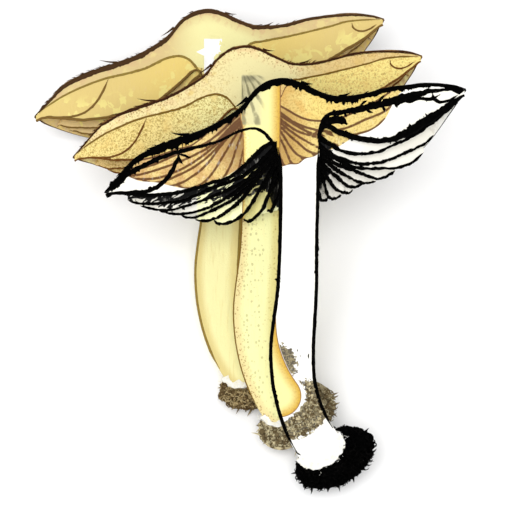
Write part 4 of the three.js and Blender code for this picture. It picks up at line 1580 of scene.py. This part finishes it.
def felt_material():
    paint = Paint("felt", 0.95, specular=0.05, sheen=0.3)
    tint = paint.mix(paint.band(paint.noise(0.8, 4), 0.35, 0.7), colour("FFFFFC"), colour("F6F2E2"))
    return paint.finish(tint, paint.noise(2.6, 6, 0.5), 0.7, 0.5)


def soil_material(name, hues):
    paint = Paint(f"{name}_soil", 0.95, specular=0.02)
    crumb, curl, _ = paint.split(paint.note)
    tint = paint.mix(paint.band(crumb, 0.25, 0.75), colour(hues["soil"]), colour(hues["soil_dark"]))
    tint = paint.over(tint, hues["soil_dark"], paint.band(paint.noise(0.9, 5), 0.45, 0.6))
    if name == "middle":
        shade = paint.band(paint.x, 8, 15)
        tint = paint.over(tint, hues["soil_dark"], shade, 0.5)
    tint = paint.over(tint, hues["soil_light"], curl, 0.75)
    fleck = paint.both(paint.band(paint.noise(1.4, 4, shift=(5, 2, 8)), 0.58, 0.64), 0.7)
    tint = paint.over(tint, hues["soil_light"], fleck)
    return paint.finish(tint, paint.noise(1.8, 6), 0.8, 0.7)


def make_mushroom(name, form, felt):
    hues = COLOURS[name]
    flesh = flesh_material(name, hues)
    line = line_material(name, "line", hues["line"], hues["skin_light"])
    bead = line_material(name, "gill_edge", hues["bead"], hues["skin_light"])
    skin = skin_material(name, hues)
    skin_cut = line_material(name, "skin_cut", hues["skin"], hues["skin"])
    make_flesh(name, form, [flesh, under_material(name, hues), line])
    make_cuticle(name, form, [skin, skin_cut])
    make_gills(name, form, [gill_material(name, hues), bead])
    make_mycelium(name, form, felt)
    soil = soil_material(name, hues)
    make_soil(name, form, soil)
    if name == "middle":
        make_clinging_soil(FORMS["front"], soil)


# Floor, light and camera

CAMERA_DISTANCE = 1.2
VIEW_WIDTH_MM = 128
SENSOR_MM = 36


def make_floor():
    mesh = bpy.data.meshes.new("floor")
    size = 3.0
    corners = [(-size, -size, 0), (size, -size, 0), (size, size, 0), (-size, size, 0)]
    mesh.from_pydata(corners, [], [(0, 1, 2, 3)])
    floor = bpy.data.objects.new("floor", mesh)
    floor.location.z = -0.0002
    bpy.context.scene.collection.objects.link(floor)
    paint = Paint("floor", 0.9, specular=0.05)
    mesh.materials.append(paint.finish([0.93, 0.93, 0.93, 1]))


def add_light(name, place, aim, size, power):
    light = bpy.data.lights.new(name, "AREA")
    light.energy = power
    light.size = size
    lamp = bpy.data.objects.new(name, light)
    lamp.location = place
    lamp.rotation_euler = (Vector(aim) - Vector(place)).to_track_quat("-Z", "Y").to_euler()
    bpy.context.scene.collection.objects.link(lamp)


def make_camera():
    data = bpy.data.cameras.new("camera")
    data.sensor_width = SENSOR_MM
    data.lens = SENSOR_MM * CAMERA_DISTANCE * 1000 / VIEW_WIDTH_MM
    data.clip_end = 20
    camera = bpy.data.objects.new("camera", data)
    lean = math.radians(LEAN)
    aim = Vector(SHEAF_PLACE) * 0.001
    camera.location = aim + Vector((0, -math.sin(lean), math.cos(lean))) * CAMERA_DISTANCE
    camera.rotation_euler = (lean, 0, 0)
    bpy.context.scene.collection.objects.link(camera)
    bpy.context.scene.camera = camera


def make_surroundings():
    world = bpy.data.worlds.new("world")
    world.use_nodes = True
    world.node_tree.nodes["Background"].inputs["Color"].default_value = (1, 1, 1, 1)
    world.node_tree.nodes["Background"].inputs["Strength"].default_value = 0.8
    bpy.context.scene.world = world
    bpy.context.scene.view_settings.view_transform = "Standard"
    add_light("key", (-0.15, -0.5, 1.5), (0, 0, 0.03), 1.0, 18)
    make_floor()
    make_camera()


make_surroundings()
felt = felt_material()
for name, form in FORMS.items():
    make_mushroom(name, form, felt)
